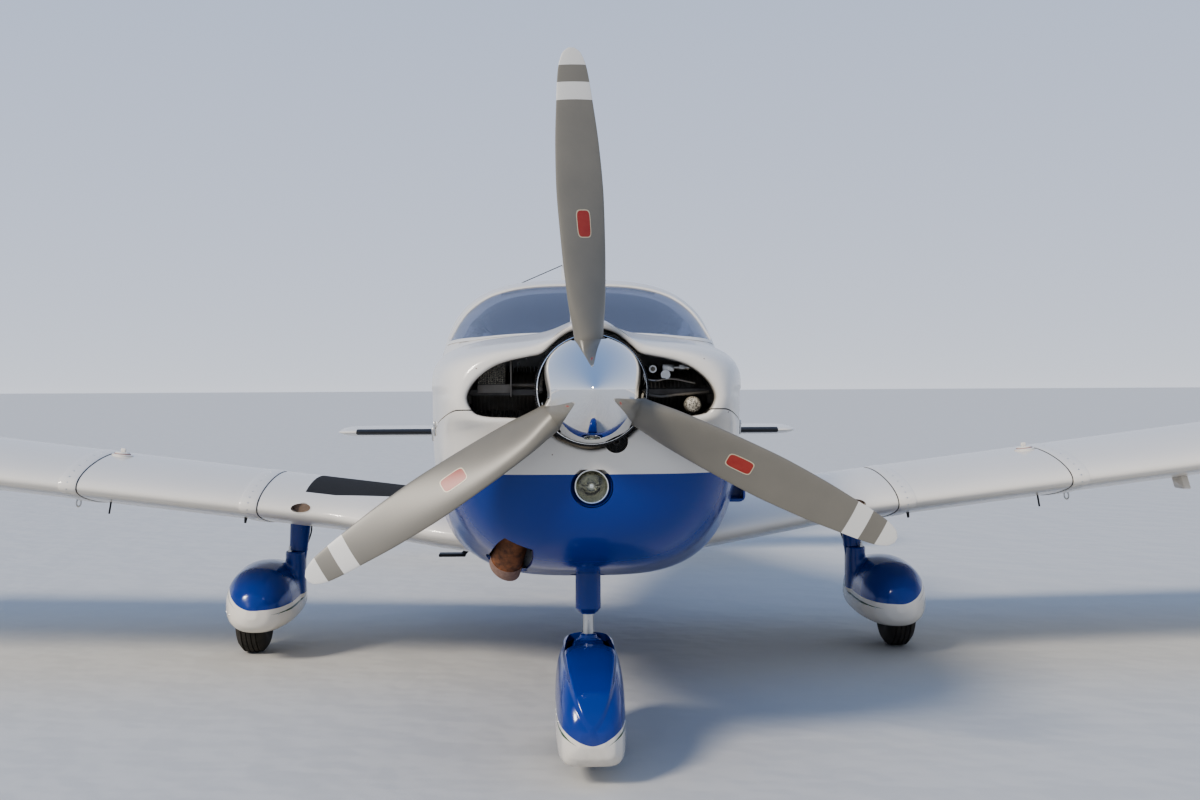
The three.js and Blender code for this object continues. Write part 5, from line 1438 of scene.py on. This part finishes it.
mast = prism("pitot_blade", ((2205, 782), (2318, 782), (2400, 900), (2290, 900)), 2725, 2755, 12)
mast = softened(carve(mast, whole_raised), 5)
dress(mast, "airframe", "white_paint", white_paint, replaces=("pitot_mast",))

# Main undercarriage: an oleo strut in blue under each wing, square to its dihedral, a blown
# fairing in two halves whose sleeve runs up round the strut, and a small grooved tyre.
MAIN_AXLE = (1540, 2760, 195)
STRUT_TOP, STRUT_FOOT, SLEEVE_FOOT = ((1314, 690), 53), ((1336, 440), 40), 262
SLEEVE_X, SLEEVE, SLEEVE_STRETCH, SLEEVE_TOP = 1344, 48, 1.7, 482
# Columns: station, half width, top, bottom.
MAIN_SPAT = (
    (2335, 24, 270, 215), (2360, 77, 333, 172), (2420, 122, 386, 143), (2540, 154, 429, 131),
    (2720, 163, 440, 125), (2920, 155, 422, 128), (3100, 118, 366, 152), (3240, 60, 298, 200),
    (3320, 14, 262, 240),
)
# Middle, height of the waist as a share, roundness of the top, roundness of the bottom.
MAIN_SPAT_SHAPE = (1475, 0.4, 2.3, 2.35)
SPAT_SKIN, WHEEL_ROOM, TYRE_HALF, MAIN_RIM = 6, 8, 68, 80
MAIN_SCREWS = (232, (2400, 2450, 2520, 2600, 2680, 2840, 2920, 3000, 3080))


def fairing_line(tree, start, low, rise, top, outboard, gain, power):
    """How far each point is above the paint's edge, and its run from the fairing's nose."""
    x, station, height = coordinates(tree)
    run = calc(tree, "MAXIMUM", calc(tree, "SUBTRACT", station, start), 0.0)
    line = calc(tree, "MINIMUM", calc(tree, "MULTIPLY_ADD", run, rise, low), top)
    far = calc(tree, "MAXIMUM", calc(tree, "SUBTRACT", calc(tree, "ABSOLUTE", x), outboard), 0.0)
    lift = calc(tree, "MINIMUM", calc(tree, "MULTIPLY", calc(tree, "POWER", far, power), gain), 0.08)
    return calc(tree, "SUBTRACT", height, calc(tree, "ADD", line, lift)), run


def fairing_paint(name, drop, begin, swell, *line):
    """Blue above a line that rises from the fairing's nose, with a green stripe below it."""
    material = gloss_paint(name, lambda tree: calc(tree, "GREATER_THAN", fairing_line(tree, *line)[0], 0.0),
                           speckled=False)
    tree = material.node_tree
    above, run = fairing_line(tree, *line)
    half = calc(tree, "MINIMUM", calc(tree, "MULTIPLY", calc(tree, "SUBTRACT", run, begin), swell), 0.005)
    stripe = calc(tree, "LESS_THAN", calc(tree, "ABSOLUTE", calc(tree, "ADD", above, drop)), half)
    base = blended(tree, stripe, source_of(tree, "Base Color"), GREEN)
    grime = noise(tree, 28.0, 6.0)
    low = ranged(tree, coordinates(tree)[2], 0.2, 0.07, 0.0, 0.6)
    tinted(tree, calc(tree, "MULTIPLY", grime, low), base, (0.3, 0.25, 0.17))
    return material


main_spat_paint = fairing_paint(
    "blue_and_white_main_fairing_paint", 0.025, 0.025, 0.032, 2.335, 0.256, 0.066, 0.33, 1.47, 4.0, 2.0)
blue_paint, tree = surface("blue_gloss_paint", BLUE, **GLOSS)
chips = noise(tree, 45.0, 7.0)
chipped = calc(tree, "GREATER_THAN", chips, 0.72)
tinted(tree, chipped, BLUE, (0.1, 0.13, 0.2))
rubber, tree = surface("tyre_rubber", (0.018, 0.017, 0.016), 0.85)
dust = noise(tree, 20.0, 6.0)
tinted(tree, dust, (0.012, 0.012, 0.012), (0.06, 0.052, 0.042))
bumped(tree, dust, 0.3)
# Near-black for the fairings' inner faces: painted shade inside the fairings, with a fibrous bump.
fairing_inside_shade, tree = surface("bare_glass_fibre", (0.035, 0.033, 0.03), 0.85)
bumped(tree, noise(tree, 160.0, 4.0, Distortion=3.0), 0.6)


def no_hood(x, height):
    return 0.0


def spat_ring(table, shape, station, skin=0.0, hood=no_hood, sides=144):
    """A fairing's cross-section; a hood raises its skin by a height at each place seen from ahead."""
    _, half, top, bottom = along(table, station)
    x, share, roof, belly = shape
    waist = bottom + (top - bottom) * share
    ring = []
    for angle in even_angles(sides):
        c, s = math.cos(angle), math.sin(angle)
        height = (top - waist if s > 0 else waist - bottom) - skin
        power = roof if s > 0 else belly
        reach = ((abs(c) / (half - skin)) ** power + (abs(s) / height) ** power) ** (-1 / power)
        reach += hood(reach * c, waist + reach * s)
        ring.append(Vector((x + reach * c, station, waist + reach * s)))
    return ring


def spat_loft(name, table, shape, skin=0.0, trim=0, hood=no_hood):
    start, end = table[trim][0], table[-1 - trim][0]
    pace, sides = (100, 144) if hood is no_hood else (180, 288)
    marks = [start + (end - start) * (0.5 - 0.5 * math.cos(math.pi * k / pace)) for k in range(pace + 1)]
    return loft(name, [spat_ring(table, shape, s, skin, hood, sides) for s in marks])


def oval_column(name, x, station, low, high, radius, stretch):
    oval = [(x + radius * math.cos(a), station + radius * stretch * math.sin(a)) for a in even_angles(56)]
    return loft(name, [[Vector((*spot, z)) for spot in oval] for z in even_steps(low, high, 24)])


def melted(thing, x, station, reach, low, high, voxel=6, passes=10):
    """Remeshes two joined forms as one and smooths their joint into a fillet near an upright line."""
    step = thing.modifiers.new("remesh", "REMESH")
    step.mode, step.voxel_size = "VOXEL", voxel / 1000
    settle(thing)
    bm = bmesh.new()
    bm.from_mesh(thing.data)
    near = []
    for vertex in bm.verts:
        spot = DRAWING @ vertex.co
        if math.hypot(spot.x - x, (spot.y - station) / 1.5) < reach and low < spot.z < high:
            near.append(vertex)
    smoothed(bm, bm.verts[:], 4)
    smoothed(bm, near, passes)
    bm.to_mesh(thing.data)
    bm.free()
    return thing


def is_inside(table, shape):
    """A test for the faces that lie well within a fairing's outer surface."""
    def test(spot, normal):
        _, half, top, bottom = along(table, spot.y)
        x, share, roof, belly = shape
        waist = bottom + (top - bottom) * share
        height, power = (top - waist, roof) if spot.z > waist else (waist - bottom, belly)
        far = (abs(abs(spot.x) - x) / half) ** power + (abs(spot.z - waist) / height) ** power
        return far < 0.93 and table[1][0] < spot.y < table[-2][0]
    return test


def both_sides(profile, half):
    """A wheel's profile on its left side and back on its right; each row is a radius and a share."""
    left, right = ([(radius, reach * share) for radius, share in profile] for reach in (-half, half))
    return left + right[::-1]


def tyre_shape(name, axle, radius, width, rim):
    """A tyre with four grooves round its tread, turned about its axle."""
    half = width / 2
    side = [(rim, 0.6), (rim + 6, 0.74), (radius * 0.6, 0.95), (radius * 0.72, 1), (radius * 0.84, 0.93),
            (radius * 0.93, 0.74)]
    tread = []
    for k in range(4):
        middle = -0.48 + k * 0.32
        for place, depth in ((-0.1, 0), (-0.035, 0), (-0.03, 7), (0.03, 7), (0.035, 0), (0.1, 0)):
            crown = radius - 9 * (middle + place) ** 2
            tread.append((crown - depth, (middle + place) * half))
    edges = [(r, half * share) for r, share in side]
    profile = [*((r, -far) for r, far in edges), *tread, *reversed(edges)]
    return turned(name, profile, axle, "X", 96)


def tyre_room(axle, radius, half):
    """The space that a fairing leaves round its tyre, closed at the top and open below."""
    wide = half + WHEEL_ROOM
    edge = [(0, 1), (radius * 0.8, 1), (radius * 0.97, 0.84), (radius + WHEEL_ROOM, 0.55)]
    return turned("room", both_sides(edge, wide), axle, "X", 72)


def rim_shape(name, axle, width, rim):
    half, outer = width / 2, rim - 0.4
    side = [(17, 0.5), (30, 0.52), (42, 0.4), (outer - 14, 0.44), (outer - 9, 0.66), (outer, 0.66)]
    wheel = turned(name, both_sides(side, half), axle, "X", 48)
    holes = []
    for k in range(6):
        a = k * math.tau / 6
        y, z = axle[1] + 52 * math.cos(a), axle[2] + 52 * math.sin(a)
        holes.append(rod("hole", (axle[0] - width, y, z), (axle[0] + width, y, z), 9, sides=20))
    return carve(wheel, *holes)


def seam_screws(table, shape, height, stations):
    """Screw heads along the joint of a fairing's two halves, on both of its sides."""
    heads = []
    for station in stations:
        ring = spat_ring(table, shape, station)
        for side in (-1, 1):
            spot = min((p for p in ring if (p.x - shape[0]) * side > 0), key=lambda p: abs(p.z - height))
            outwards = Vector((side, 0, 0))
            heads.append((rod("head", spot - outwards * 3, spot + outwards * 1.2, 5, 4, 14), 0))
    return heads


def strut_spot(height):
    """A point on the leaning strut's middle line."""
    (top, high), (foot, low) = STRUT_TOP[0], STRUT_FOOT[0]
    return Vector((foot + (top - foot) * (height - low) / (high - low), MAIN_AXLE[1], height))


spat = spat_loft("spat", MAIN_SPAT, MAIN_SPAT_SHAPE)
sleeve = oval_column("sleeve", SLEEVE_X, MAIN_AXLE[1], SLEEVE_FOOT, SLEEVE_TOP, SLEEVE, SLEEVE_STRETCH)
joined(spat, sleeve)
melted(spat, SLEEVE_X, MAIN_AXLE[1], 108, 250, SLEEVE_TOP - 12)
axle_x, axle_station, tyre_radius = MAIN_AXLE
slot_half = TYRE_HALF + WHEEL_ROOM
carve(
    spat,
    spat_loft("room", MAIN_SPAT, MAIN_SPAT_SHAPE, SPAT_SKIN + 1, 1),
    oval_column("sleeve_bore", SLEEVE_X, axle_station, SLEEVE_FOOT + 12, SLEEVE_TOP + 20,
                SLEEVE - 5, SLEEVE_STRETCH),
    tyre_room(MAIN_AXLE, tyre_radius, TYRE_HALF),
    block("slot", (axle_x - slot_half, 2556, 60), (axle_x + slot_half, 2964, 175)),
)
strut = rod("strut", strut_spot(440), strut_spot(690), STRUT_FOOT[1], STRUT_TOP[1], 56)
leg = gather(
    "leg",
    (strut, 0),
    (rod("collar", strut_spot(484), strut_spot(494), 44, 44, 56), 0),
    (rod("slider", strut_spot(190), strut_spot(445), 29), 1),
    (rod("axle", (1340, axle_station, tyre_radius), (1605, axle_station, tyre_radius), 16), 1),
    (rod("clamp_bolt", (1362, 2696, 476), (1362, 2696, 508), 5.5, sides=16), 1),
    (softened(block("clamp_ear", (1354, 2690, 480), (1370, 2712, 490)), 2), 1),
    (rod("trunnion", (1290, 2722, 648), (1342, 2722, 648), 19, 15, 28), 1),
    (rod("trunnion_bolt", (1316, 2688, 640), (1316, 2712, 640), 10, sides=6), 1),
    (softened(block("bracket", (1280, 2706, 634), (1350, 2722, 684)), 4), 2),
    (pipe("brake_line", [
        (1290, 2812, 650), (1278, 2818, 590), (1294, 2816, 520), (1318, 2806, 470)], 3.5), 3),
)
tyre = tyre_shape("tyre", MAIN_AXLE, tyre_radius, TYRE_HALF * 2, MAIN_RIM)
rim = rim_shape("rim", MAIN_AXLE, TYRE_HALF * 2, MAIN_RIM)
screws = gather("screws", *seam_screws(MAIN_SPAT, MAIN_SPAT_SHAPE, *MAIN_SCREWS))
for name, shape, materials, slot, part in (
    ("main_fairing", spat, (main_spat_paint, fairing_inside_shade), "blue_paint", "main_spat"),
    ("main_fairing_screws", screws, (steel,), "bare_steel", None),
    ("main_strut", leg, (blue_paint, steel, cast_metal, black_plastic), "blue_paint", "main_leg"),
    ("main_tyre", tyre, (rubber,), "tyre_rubber", "main_tyre"),
    ("main_wheel", rim, (white_paint,), "wheel_paint", "main_rim"),
):
    for side, twin in (("right", mirrored(shape, "twin")), ("left", shape)):
        twin.name = f"{name}_{side}_piece"
        body = f"main_wheel_{side}" if part in ("main_tyre", "main_rim") else "airframe"
        dress(twin, body, slot, *materials, replaces=(f"{part}_{side}",) if part else ())
        if part == "main_spat":
            # Faces well inside the fairing take the near-black painted shade.
            assign(twin, 1, is_inside(MAIN_SPAT, MAIN_SPAT_SHAPE))

# Nose undercarriage: a blue oleo housing out of the cowl, a plated sliding tube with a torque
# link behind it, and a fork inside a blown fairing whose raised hood runs down to a point.
# Columns: station, half width, top, bottom.
NOSE_SPAT = (
    (175, 40, 190, 140), (190, 72, 235, 100), (230, 96, 290, 70), (320, 108, 345, 63),
    (480, 113, 388, 62), (640, 114, 398, 62), (800, 108, 382, 72), (950, 84, 338, 102),
    (1080, 46, 286, 160), (1150, 12, 250, 205),
)
NOSE_SPAT_SHAPE = (0, 0.3, 3.5, 4.5)
HOOD_RISE, HOOD_EDGE, HOOD_TIP, HOOD_SPAN, HOOD_HALF = 17, 16, 184, 182, 89
NOSE_TYRE_WIDTH, NOSE_RIM = 130, 70
FORK_FRONT, FORK_DEPTH = 636, 68
NOSE_SCREWS = (196, (300, 400, 500, 840, 940, 1020))
# The front view of one side of the fork: distance out, height.
FORK = ((24, 402), (46, 391), (58, 374), (91, 334), (91, 162), (79, 162), (79, 330), (54, 362), (40, 378))
nose_spat_paint = fairing_paint(
    "blue_and_white_nose_fairing_paint", 0.017, 0.008, 0.13, 0.17, 0.147, 0.0, 0.3, 0.0, 2.05, 1.6)


def nose_hood(x, height):
    """The hood's rise: flat on top, with a soft shoulder that narrows to a point at the nose."""
    edge = HOOD_HALF * max((height - HOOD_TIP) / HOOD_SPAN, 0) ** 0.58
    inside = min(max((edge - abs(x)) / HOOD_EDGE, 0), 1)
    return HOOD_RISE * inside * inside * (3 - 2 * inside)


def foot_spot(height, x=0.0, aft=0.0):
    return Vector((x, NOSE_AXLE[1] + aft, height))


housing = turned("nose_strut", [
    (0, 500), (19, 500), (19, 489), (31, 489), (34, 492), (43, 503), (43, 700), (45, 703), (45, 716),
    (43, 719), (43, 940), (0, 940),
], foot_spot(0), "Z", 56)
dress(housing, "airframe", "blue_paint", blue_paint, replaces=("nose_leg",))
piston = gather(
    "nose_slider",
    (rod("tube", foot_spot(396), foot_spot(690), 18), 0),
    (turned("wiper", [(18, 484), (25, 484), (25, 492), (18, 492)], foot_spot(0), "Z", 40), 1),
)
dress(piston, "nose_gear", "polished_chrome", steel, blue_paint)
crown = [(x, FORK_FRONT, z) for x, z in (*FORK, *((-x, z) for x, z in reversed(FORK)))]
fork = gather(
    "fork_crown",
    (softened(extruded("crown", crown, (0, FORK_DEPTH, 0)), 4), 0),
    (turned("boss", [(18.5, 398), (32, 398), (28, 412), (18.5, 416)], foot_spot(0), "Z", 40), 0),
    (softened(prism("web", ((530, 356), (530, 364), (640, 399), (640, 384)), -46, 46), 3), 0),
    (rod("axle", foot_spot(NOSE_AXLE[2], -97), foot_spot(NOSE_AXLE[2], 97), 16), 1),
    *((rod("nut", foot_spot(NOSE_AXLE[2], side * 90), foot_spot(NOSE_AXLE[2], side * 100), 15, sides=6), 1)
      for side in (-1, 1)),
    (softened(block("lower_link", (-13, 700, 397), (13, 762, 409)), 3), 0),
    (softened(block("upper_link", (-13, 746, 404), (13, 760, 500)), 3), 0),
    (rod("link_pin", (-20, 753, 404), (20, 753, 404), 7, sides=20), 1),
    *((rod("steering_bolt", foot_spot(400, x, -8), foot_spot(410, x, -8), 6, sides=6), 1)
      for x in (-22, 22)),
)
dress(fork, "nose_gear", "bare_steel", blue_paint, steel, replaces=("nose_fork",))
opening = prism("opening", ((500, 330), (500, 500), (775, 500), (775, 330)), -86, 86)
for vertex in opening.data.vertices:
    if vertex.co.y > 0.7 - ORIGIN_STATION / 1000:
        vertex.co.x *= 0.72
nose_fairing = carve(
    spat_loft("nose_fairing", NOSE_SPAT, NOSE_SPAT_SHAPE, hood=nose_hood),
    spat_loft("room", NOSE_SPAT, NOSE_SPAT_SHAPE, SPAT_SKIN, 1),
    block("slot", foot_spot(40, -78, -199), foot_spot(NOSE_AXLE[2], 78, 199)),
    opening,
)
dress(nose_fairing, "nose_gear", "blue_paint", nose_spat_paint, fairing_inside_shade, replaces=("nose_spat",))
# Faces well inside the fairing take the near-black painted shade.
assign(nose_fairing, 1, is_inside(NOSE_SPAT, NOSE_SPAT_SHAPE))
nose_screws = gather("nose_fairing_screws", *seam_screws(NOSE_SPAT, NOSE_SPAT_SHAPE, *NOSE_SCREWS))
dress(nose_screws, "nose_gear", "bare_steel", steel)
nose_tyre = tyre_shape("nose_tyre_piece", NOSE_AXLE, NOSE_AXLE[2], NOSE_TYRE_WIDTH, NOSE_RIM)
dress(nose_tyre, "nose_wheel", "tyre_rubber", rubber, replaces=("nose_tyre",))
nose_rim = rim_shape("nose_wheel_piece", NOSE_AXLE, NOSE_TYRE_WIDTH, NOSE_RIM)
dress(nose_rim, "nose_wheel", "wheel_paint", white_paint, replaces=("nose_rim",))

# Small fittings: the boarding step, a drain and a wire aerial below the belly, whisker aerials on
# the fin and a tie-down loop under the tail.
step_tread = softened(block("tread", (-735, 3705, 336), (-590, 3795, 352)), 4)
step = gather(
    "boarding_step", (step_tread, 0),
    (pipe("step_tube", [
        (-606, 3750, 344), (-560, 3744, 400), (-480, 3728, 540), (-430, 3720, 640)], 13, 20), 0),
)
dress(step, "airframe", "black_paint", black_plastic, replaces=("entry_step",))
fittings = gather(
    "belly_fittings",
    (rod("drain", (370, 1250, 720), (372, 1236, 655), 12, 10, 20), 0),
    (pipe("wire", [(310, 1700, 660), (308, 1716, 610), (306, 1760, 590)], 2.2), 0),
    (pipe("aerial_foot", [(0, 2900, 550), (0, 2915, 480), (0, 2990, 440)], 4), 0),
    (pipe("tail_loop", [(0, 6300, 872), (0, 6310, 836), (0, 6350, 836), (0, 6360, 872)], 5), 0),
)
dress(fittings, "airframe", "black_paint", black_plastic)
whiskers = gather("fin_aerials", *(
    (pipe("whisker", [(side * 22, 6545, 2150), (side * 120, 6600, 2112), (side * 335, 6740, 2030)], 3), 0)
    for side in (-1, 1)), (softened(block("mount", (-30, 6520, 2138), (30, 6570, 2162)), 6), 0))
dress(whiskers, "airframe", "black_paint", black_plastic)

# Cabin furniture: a black instrument panel under a padded coaming, with round dials, a radio stack,
# two control yokes and a quadrant of levers, all screwed to the frame behind the firewall.
ROOM_SKIN = 46
PANEL_FOOT, PANEL_HEAD = Vector((0, 1824, 1012)), Vector((0, 1862, 1368))
COAMING = ((1644, 1402), (1664, 1418), (1876, 1390), (1884, 1378), (1874, 1368), (1660, 1390))
DIAL_RADIUS, DIAL_GAP = 39, 92
YOKE_X, SEAT_X = 265, 268
LEVERS, GRIP = (-28, 0, 28), ((0, -11), (8, -9), (10, 0), (8, 9), (0, 11))
panel_black, tree = surface("crackle_black_paint", (0.02, 0.021, 0.023), 0.6)
bumped(tree, texture(tree, "Voronoi", Scale=620.0), 0.35, 0.0006)
vinyl, tree = surface("black_grained_vinyl", (0.014, 0.014, 0.016), 0.55)
bumped(tree, texture(tree, "Voronoi", Scale=240.0, feature="SMOOTH_F1"), 0.5)
dial_white, tree = surface("dial_markings", (0.8, 0.8, 0.76), 0.5)
tinted(tree, noise(tree, 24.0), (0.84, 0.84, 0.8), (0.7, 0.68, 0.58))
radio_glass, tree = surface("radio_display", (0.02, 0.035, 0.03), 0.08, Coat_Weight=0.6)
digits = texture(tree, "Wave", Scale=40.0, bands_direction="Z")
tinted(tree, digits, (0.012, 0.02, 0.018), (0.03, 0.06, 0.045))


def panel_spot(x, height, proud=0.0):
    """A point on the leaning panel's face, seen from the seats."""
    t = (height - PANEL_FOOT.z) / (PANEL_HEAD.z - PANEL_FOOT.z)
    return PANEL_FOOT.lerp(PANEL_HEAD, t) + Vector((x, 0, 0)) + FACING * proud


FACING = Vector((0, PANEL_HEAD.z - PANEL_FOOT.z, PANEL_FOOT.y - PANEL_HEAD.y)).normalized()
room = body_loft("room", CABIN_START, CABIN_END, ROOM_SKIN, FLOOR_DEPTH + 2)
board = shared(
    prism("board", ((1806, 1012), (1824, 1012), (1862, 1368), (1826, 1368)), -700, 700),
    copy_of(room, "inside"))
coaming = softened(shared(prism("coaming", COAMING, -700, 700), copy_of(room, "inside")), 6, 3)
dress(coaming, "airframe", "black_paint", vinyl)
parts = [(board, 0)]
dials = [
    *((YOKE_X - 10 + (k % 3 - 1) * DIAL_GAP, 1300 - k // 3 * DIAL_GAP, DIAL_RADIUS) for k in range(6)),
    *((-150 - k % 3 * 62, 1318 - k // 3 * 66, 26) for k in range(6)),
]
for k, (x, height, radius) in enumerate(dials):
    middle = panel_spot(x, height)
    parts.append((rod("bezel", middle, middle + FACING * 6, radius + 5, radius + 2, 40), 1))
    parts.append((rod("face", middle, middle + FACING * 6.6, radius - 2, sides=40), 0))
    up, across = (PANEL_HEAD - PANEL_FOOT).normalized(), Vector((1, 0, 0))
    for step in range(12):
        turn = step * math.tau / 12
        way = up * math.cos(turn) + across * math.sin(turn)
        start = middle + FACING * 7 + way * (radius - 10)
        parts.append((rod("tick", start, start + way * 6, 1.1, sides=4), 2))
    way = up * math.cos(0.8 + k * 1.7) + across * math.sin(0.8 + k * 1.7)
    start = middle + FACING * 7.6
    parts.append((rod("pointer", start, start + way * (radius - 9), 2, 0.8, 6), 2))
for k in range(5):
    low = panel_spot(-72, 1298 - k * 58, 1)
    parts.append((softened(block("radio", low, low + Vector((150, 9, 50))), 2), 1))
    parts.append((block("display", low + Vector((28, 7, 20)), low + Vector((122, 10, 42))), 3))
    for x in (12, 138):
        knob = low + Vector((x, 8, 16))
        parts.append((rod("knob", knob, knob + Vector((0, 16, 0)), 9, 7, 20), 1))
for k in range(8):
    low = panel_spot(120 + k * 26, 1066, 1)
    parts.append((softened(block("switch", low, low + Vector((14, 12, 26))), 2), 1))
parts.append((softened(block("glove_box", panel_spot(-420, 1040, 0.5), panel_spot(-170, 1150, 3)), 1), 1))
dress(gather("instrument_board", *parts), "airframe", "black_paint", panel_black, black_plastic, dial_white,
      radio_glass, replaces=("instrument_panel",))
controls = [
    (softened(block("quadrant", (-52, 1830, 1030), (52, 1890, 1072)), 6), 0),
    *((rod("lever", (x, 1870, 1060), (x, 1902, 1112), 3.5, sides=12), 1) for x in LEVERS),
    *((turned("grip", GRIP, (x, 1904, 1116), "X", 24), 0) for x in LEVERS),
]
for side in (-1, 1):
    x = side * YOKE_X
    controls += [
        (rod("column", (x, 1826, 1195), (x, 2004, 1215), 11, sides=24), 1),
        (softened(block("boss", (x - 34, 2000, 1196), (x + 34, 2026, 1234)), 8, 3), 0),
        (pipe("horns", [(x - 124, 2013, 1308), (x - 132, 2013, 1250), (x - 96, 2013, 1214), (x, 2013, 1214),
                        (x + 96, 2013, 1214), (x + 132, 2013, 1250), (x + 124, 2013, 1308)], 11, 16), 0),
    ]
dress(gather("flight_controls", *controls), "airframe", "black_paint", black_plastic, steel)

# Seats: foam cushions in sewn grey cloth, piped round their edges, on black tube frames in front
# and on a carpeted box behind. Each cover is filled by simulation and stitched afterwards.
# Side views of the covers before they fill, as station and height.
FRONT_CUSHION = ((2246, 774), (2246, 888), (2300, 912), (2640, 880), (2650, 774))
FRONT_BACK = ((2676, 792), (2662, 884), (2776, 1372), (2826, 1384), (2842, 1354), (2752, 792))
REAR_CUSHION = ((3090, 716), (3086, 884), (3146, 904), (3462, 874), (3462, 716))
REAR_BACK = ((3490, 724), (3480, 890), (3606, 1320), (3656, 1326), (3674, 1292), (3588, 724))
COVER_EDGE, VOXEL, PRESSURE, FRAMES, SWELL = 26, 0.006, 4.0, 20, 16
RAIL_HALF, RAIL_TOP = 168, 758
RAIL = ((2300, 664), (2300, 742), (2330, 758), (2500, 758), (2660, 758), (2700, 742), (2700, 664))
CHANNELS, CHANNEL_DEPTH, CHANNEL_WIDTH = 5, 5.0, 6.0
cloth, tree = surface("grey_seat_cloth", (0.13, 0.14, 0.16), 0.85, Sheen_Weight=0.35)
warp = texture(tree, "Wave", Scale=330.0, Distortion=0.6, bands_direction="X")
weft = texture(tree, "Wave", Scale=330.0, Distortion=0.6, bands_direction="DIAGONAL")
weave = calc(tree, "MULTIPLY", warp, weft)
patch = noise(tree, 7.0, 4.0)
tint = blended(tree, weave, (0.085, 0.095, 0.115), (0.17, 0.18, 0.205))
tinted(tree, calc(tree, "MULTIPLY", patch, 0.3), tint, (0.2, 0.2, 0.2))
bumped(tree, weave, 0.4, 0.0007)
piping, tree = surface("dark_piping", (0.02, 0.021, 0.024), 0.6)
thread = noise(tree, 520.0)
tinted(tree, thread, (0.013, 0.014, 0.017), (0.034, 0.035, 0.04))
bumped(tree, thread, 0.4, 0.0006)


def plumped(thing):
    """Fills a cover with air by simulation, with no point moving further than the swell."""
    step = thing.modifiers.new("remesh", "REMESH")
    step.mode, step.voxel_size = "VOXEL", VOXEL
    settle(thing)
    start = [vertex.co.copy() for vertex in thing.data.vertices]
    fill = thing.modifiers.new("fill", "CLOTH")
    fill.settings.use_pressure, fill.settings.uniform_pressure_force = True, PRESSURE
    fill.settings.effector_weights.gravity = 0
    fill.point_cache.frame_start, fill.point_cache.frame_end = 1, FRAMES
    for frame_number in range(1, FRAMES + 1):
        bpy.context.scene.frame_set(frame_number)
    settle(thing)
    for vertex, before in zip(thing.data.vertices, start):
        move = vertex.co - before
        if move.length > SWELL / 1000:
            vertex.co = before + move * (SWELL / 1000 / move.length)
    bpy.context.scene.frame_set(1)
    bm = bmesh.new()
    bm.from_mesh(thing.data)
    smoothed(bm, bm.verts, 2)
    bm.to_mesh(thing.data)
    bm.free()
    thing.modifiers.new("finer", "SUBSURF")
    return settle(thing)


def channelled(thing, middle, half, facing):
    """Presses sewn channels into the sitter's side of a cushion."""
    seams = [middle + half * (2 * k / (CHANNELS - 1) - 1) for k in range(CHANNELS)]
    normals = [vertex.normal.copy() for vertex in thing.data.vertices]
    for vertex, normal in zip(thing.data.vertices, normals):
        spot = DRAWING @ vertex.co
        off = min(abs(spot.x - x) for x in seams)
        if abs(spot.x - middle) < half + 12:
            depth = CHANNEL_DEPTH * max(normal.dot(facing), 0) * math.exp(-((off / CHANNEL_WIDTH) ** 2))
            vertex.co -= normal * (depth / 1000)
    return thing


def edge_piping(thing, outline, x):
    """A cord of covered piping laid on the cushion's swollen surface along one edge."""
    path = []
    for station, height in outline:
        _, spot, normal, _ = thing.closest_point_on_mesh(PLACE @ Vector((x, station, height)))
        path.append(DRAWING @ (spot + normal * 0.0015))
    return pipe("cord", path, 3.4, 8)


for name, outline, middle, half, facing in (
    ("front_cushion", FRONT_CUSHION, SEAT_X, 212, (0, 0, 1)),
    ("front_back", FRONT_BACK, SEAT_X, 206, (0, -1, 0.2)),
    ("rear_cushion", REAR_CUSHION, 226, 214, (0, 0, 1)),
    ("rear_back", REAR_BACK, 226, 210, (0, -1, 0.2)),
):
    cover = plumped(softened(prism(name, outline, middle - half, middle + half), COVER_EDGE, 4))
    channelled(cover, middle, half - 74, Vector(facing).normalized())
    cords = gather("cords", *(
        (edge_piping(cover, outline, middle + side * (half + 4)), 0) for side in (-1, 1)))
    for side, twin, twin_cords in (
        ("right", mirrored(cover, "twin"), mirrored(cords, "twin_cords")), ("left", cover, cords),
    ):
        twin.name = f"{name}_{side}_pad"
        twin_cords.name = f"{name}_{side}_piping"
        stands_for = {"front_cushion": (f"seat_front_{side}",)}.get(name, ())
        if (name, side) == ("rear_cushion", "left"):
            stands_for = ("rear_seat",)
        dress(twin, "airframe", "seat_fabric", cloth, replaces=stands_for)
        dress(twin_cords, "airframe", "seat_fabric", piping)
for side, sign in SIDES:
    tubes = []
    near, far = sign * (SEAT_X - RAIL_HALF), sign * (SEAT_X + RAIL_HALF)
    for x in (near, far):
        track = block("track", (x - 14, 2270, 648), (x + 14, 2740, 662))
        tubes += [(pipe("rail", [(x, s, z) for s, z in RAIL], 11), 0), (softened(track, 2), 1)]
    for s in (2330, 2660):
        tubes.append((rod("cross", (near, s, RAIL_TOP), (far, s, RAIL_TOP), 9), 0))
    dress(gather(f"seat_frame_{side}", *tubes), "airframe", "black_paint", black_plastic, steel)
rear_box = softened(block("rear_box", (-446, 3092, 640), (446, 3580, 712)), 8)
shared(rear_box, copy_of(room, "inside"))
dress(rear_box, "airframe", "seat_fabric", lining)
bpy.data.objects.remove(room)
firewall = frame["nodes"]["firewall"]
firewall.data.materials.clear()
firewall.data.materials.append(steel)
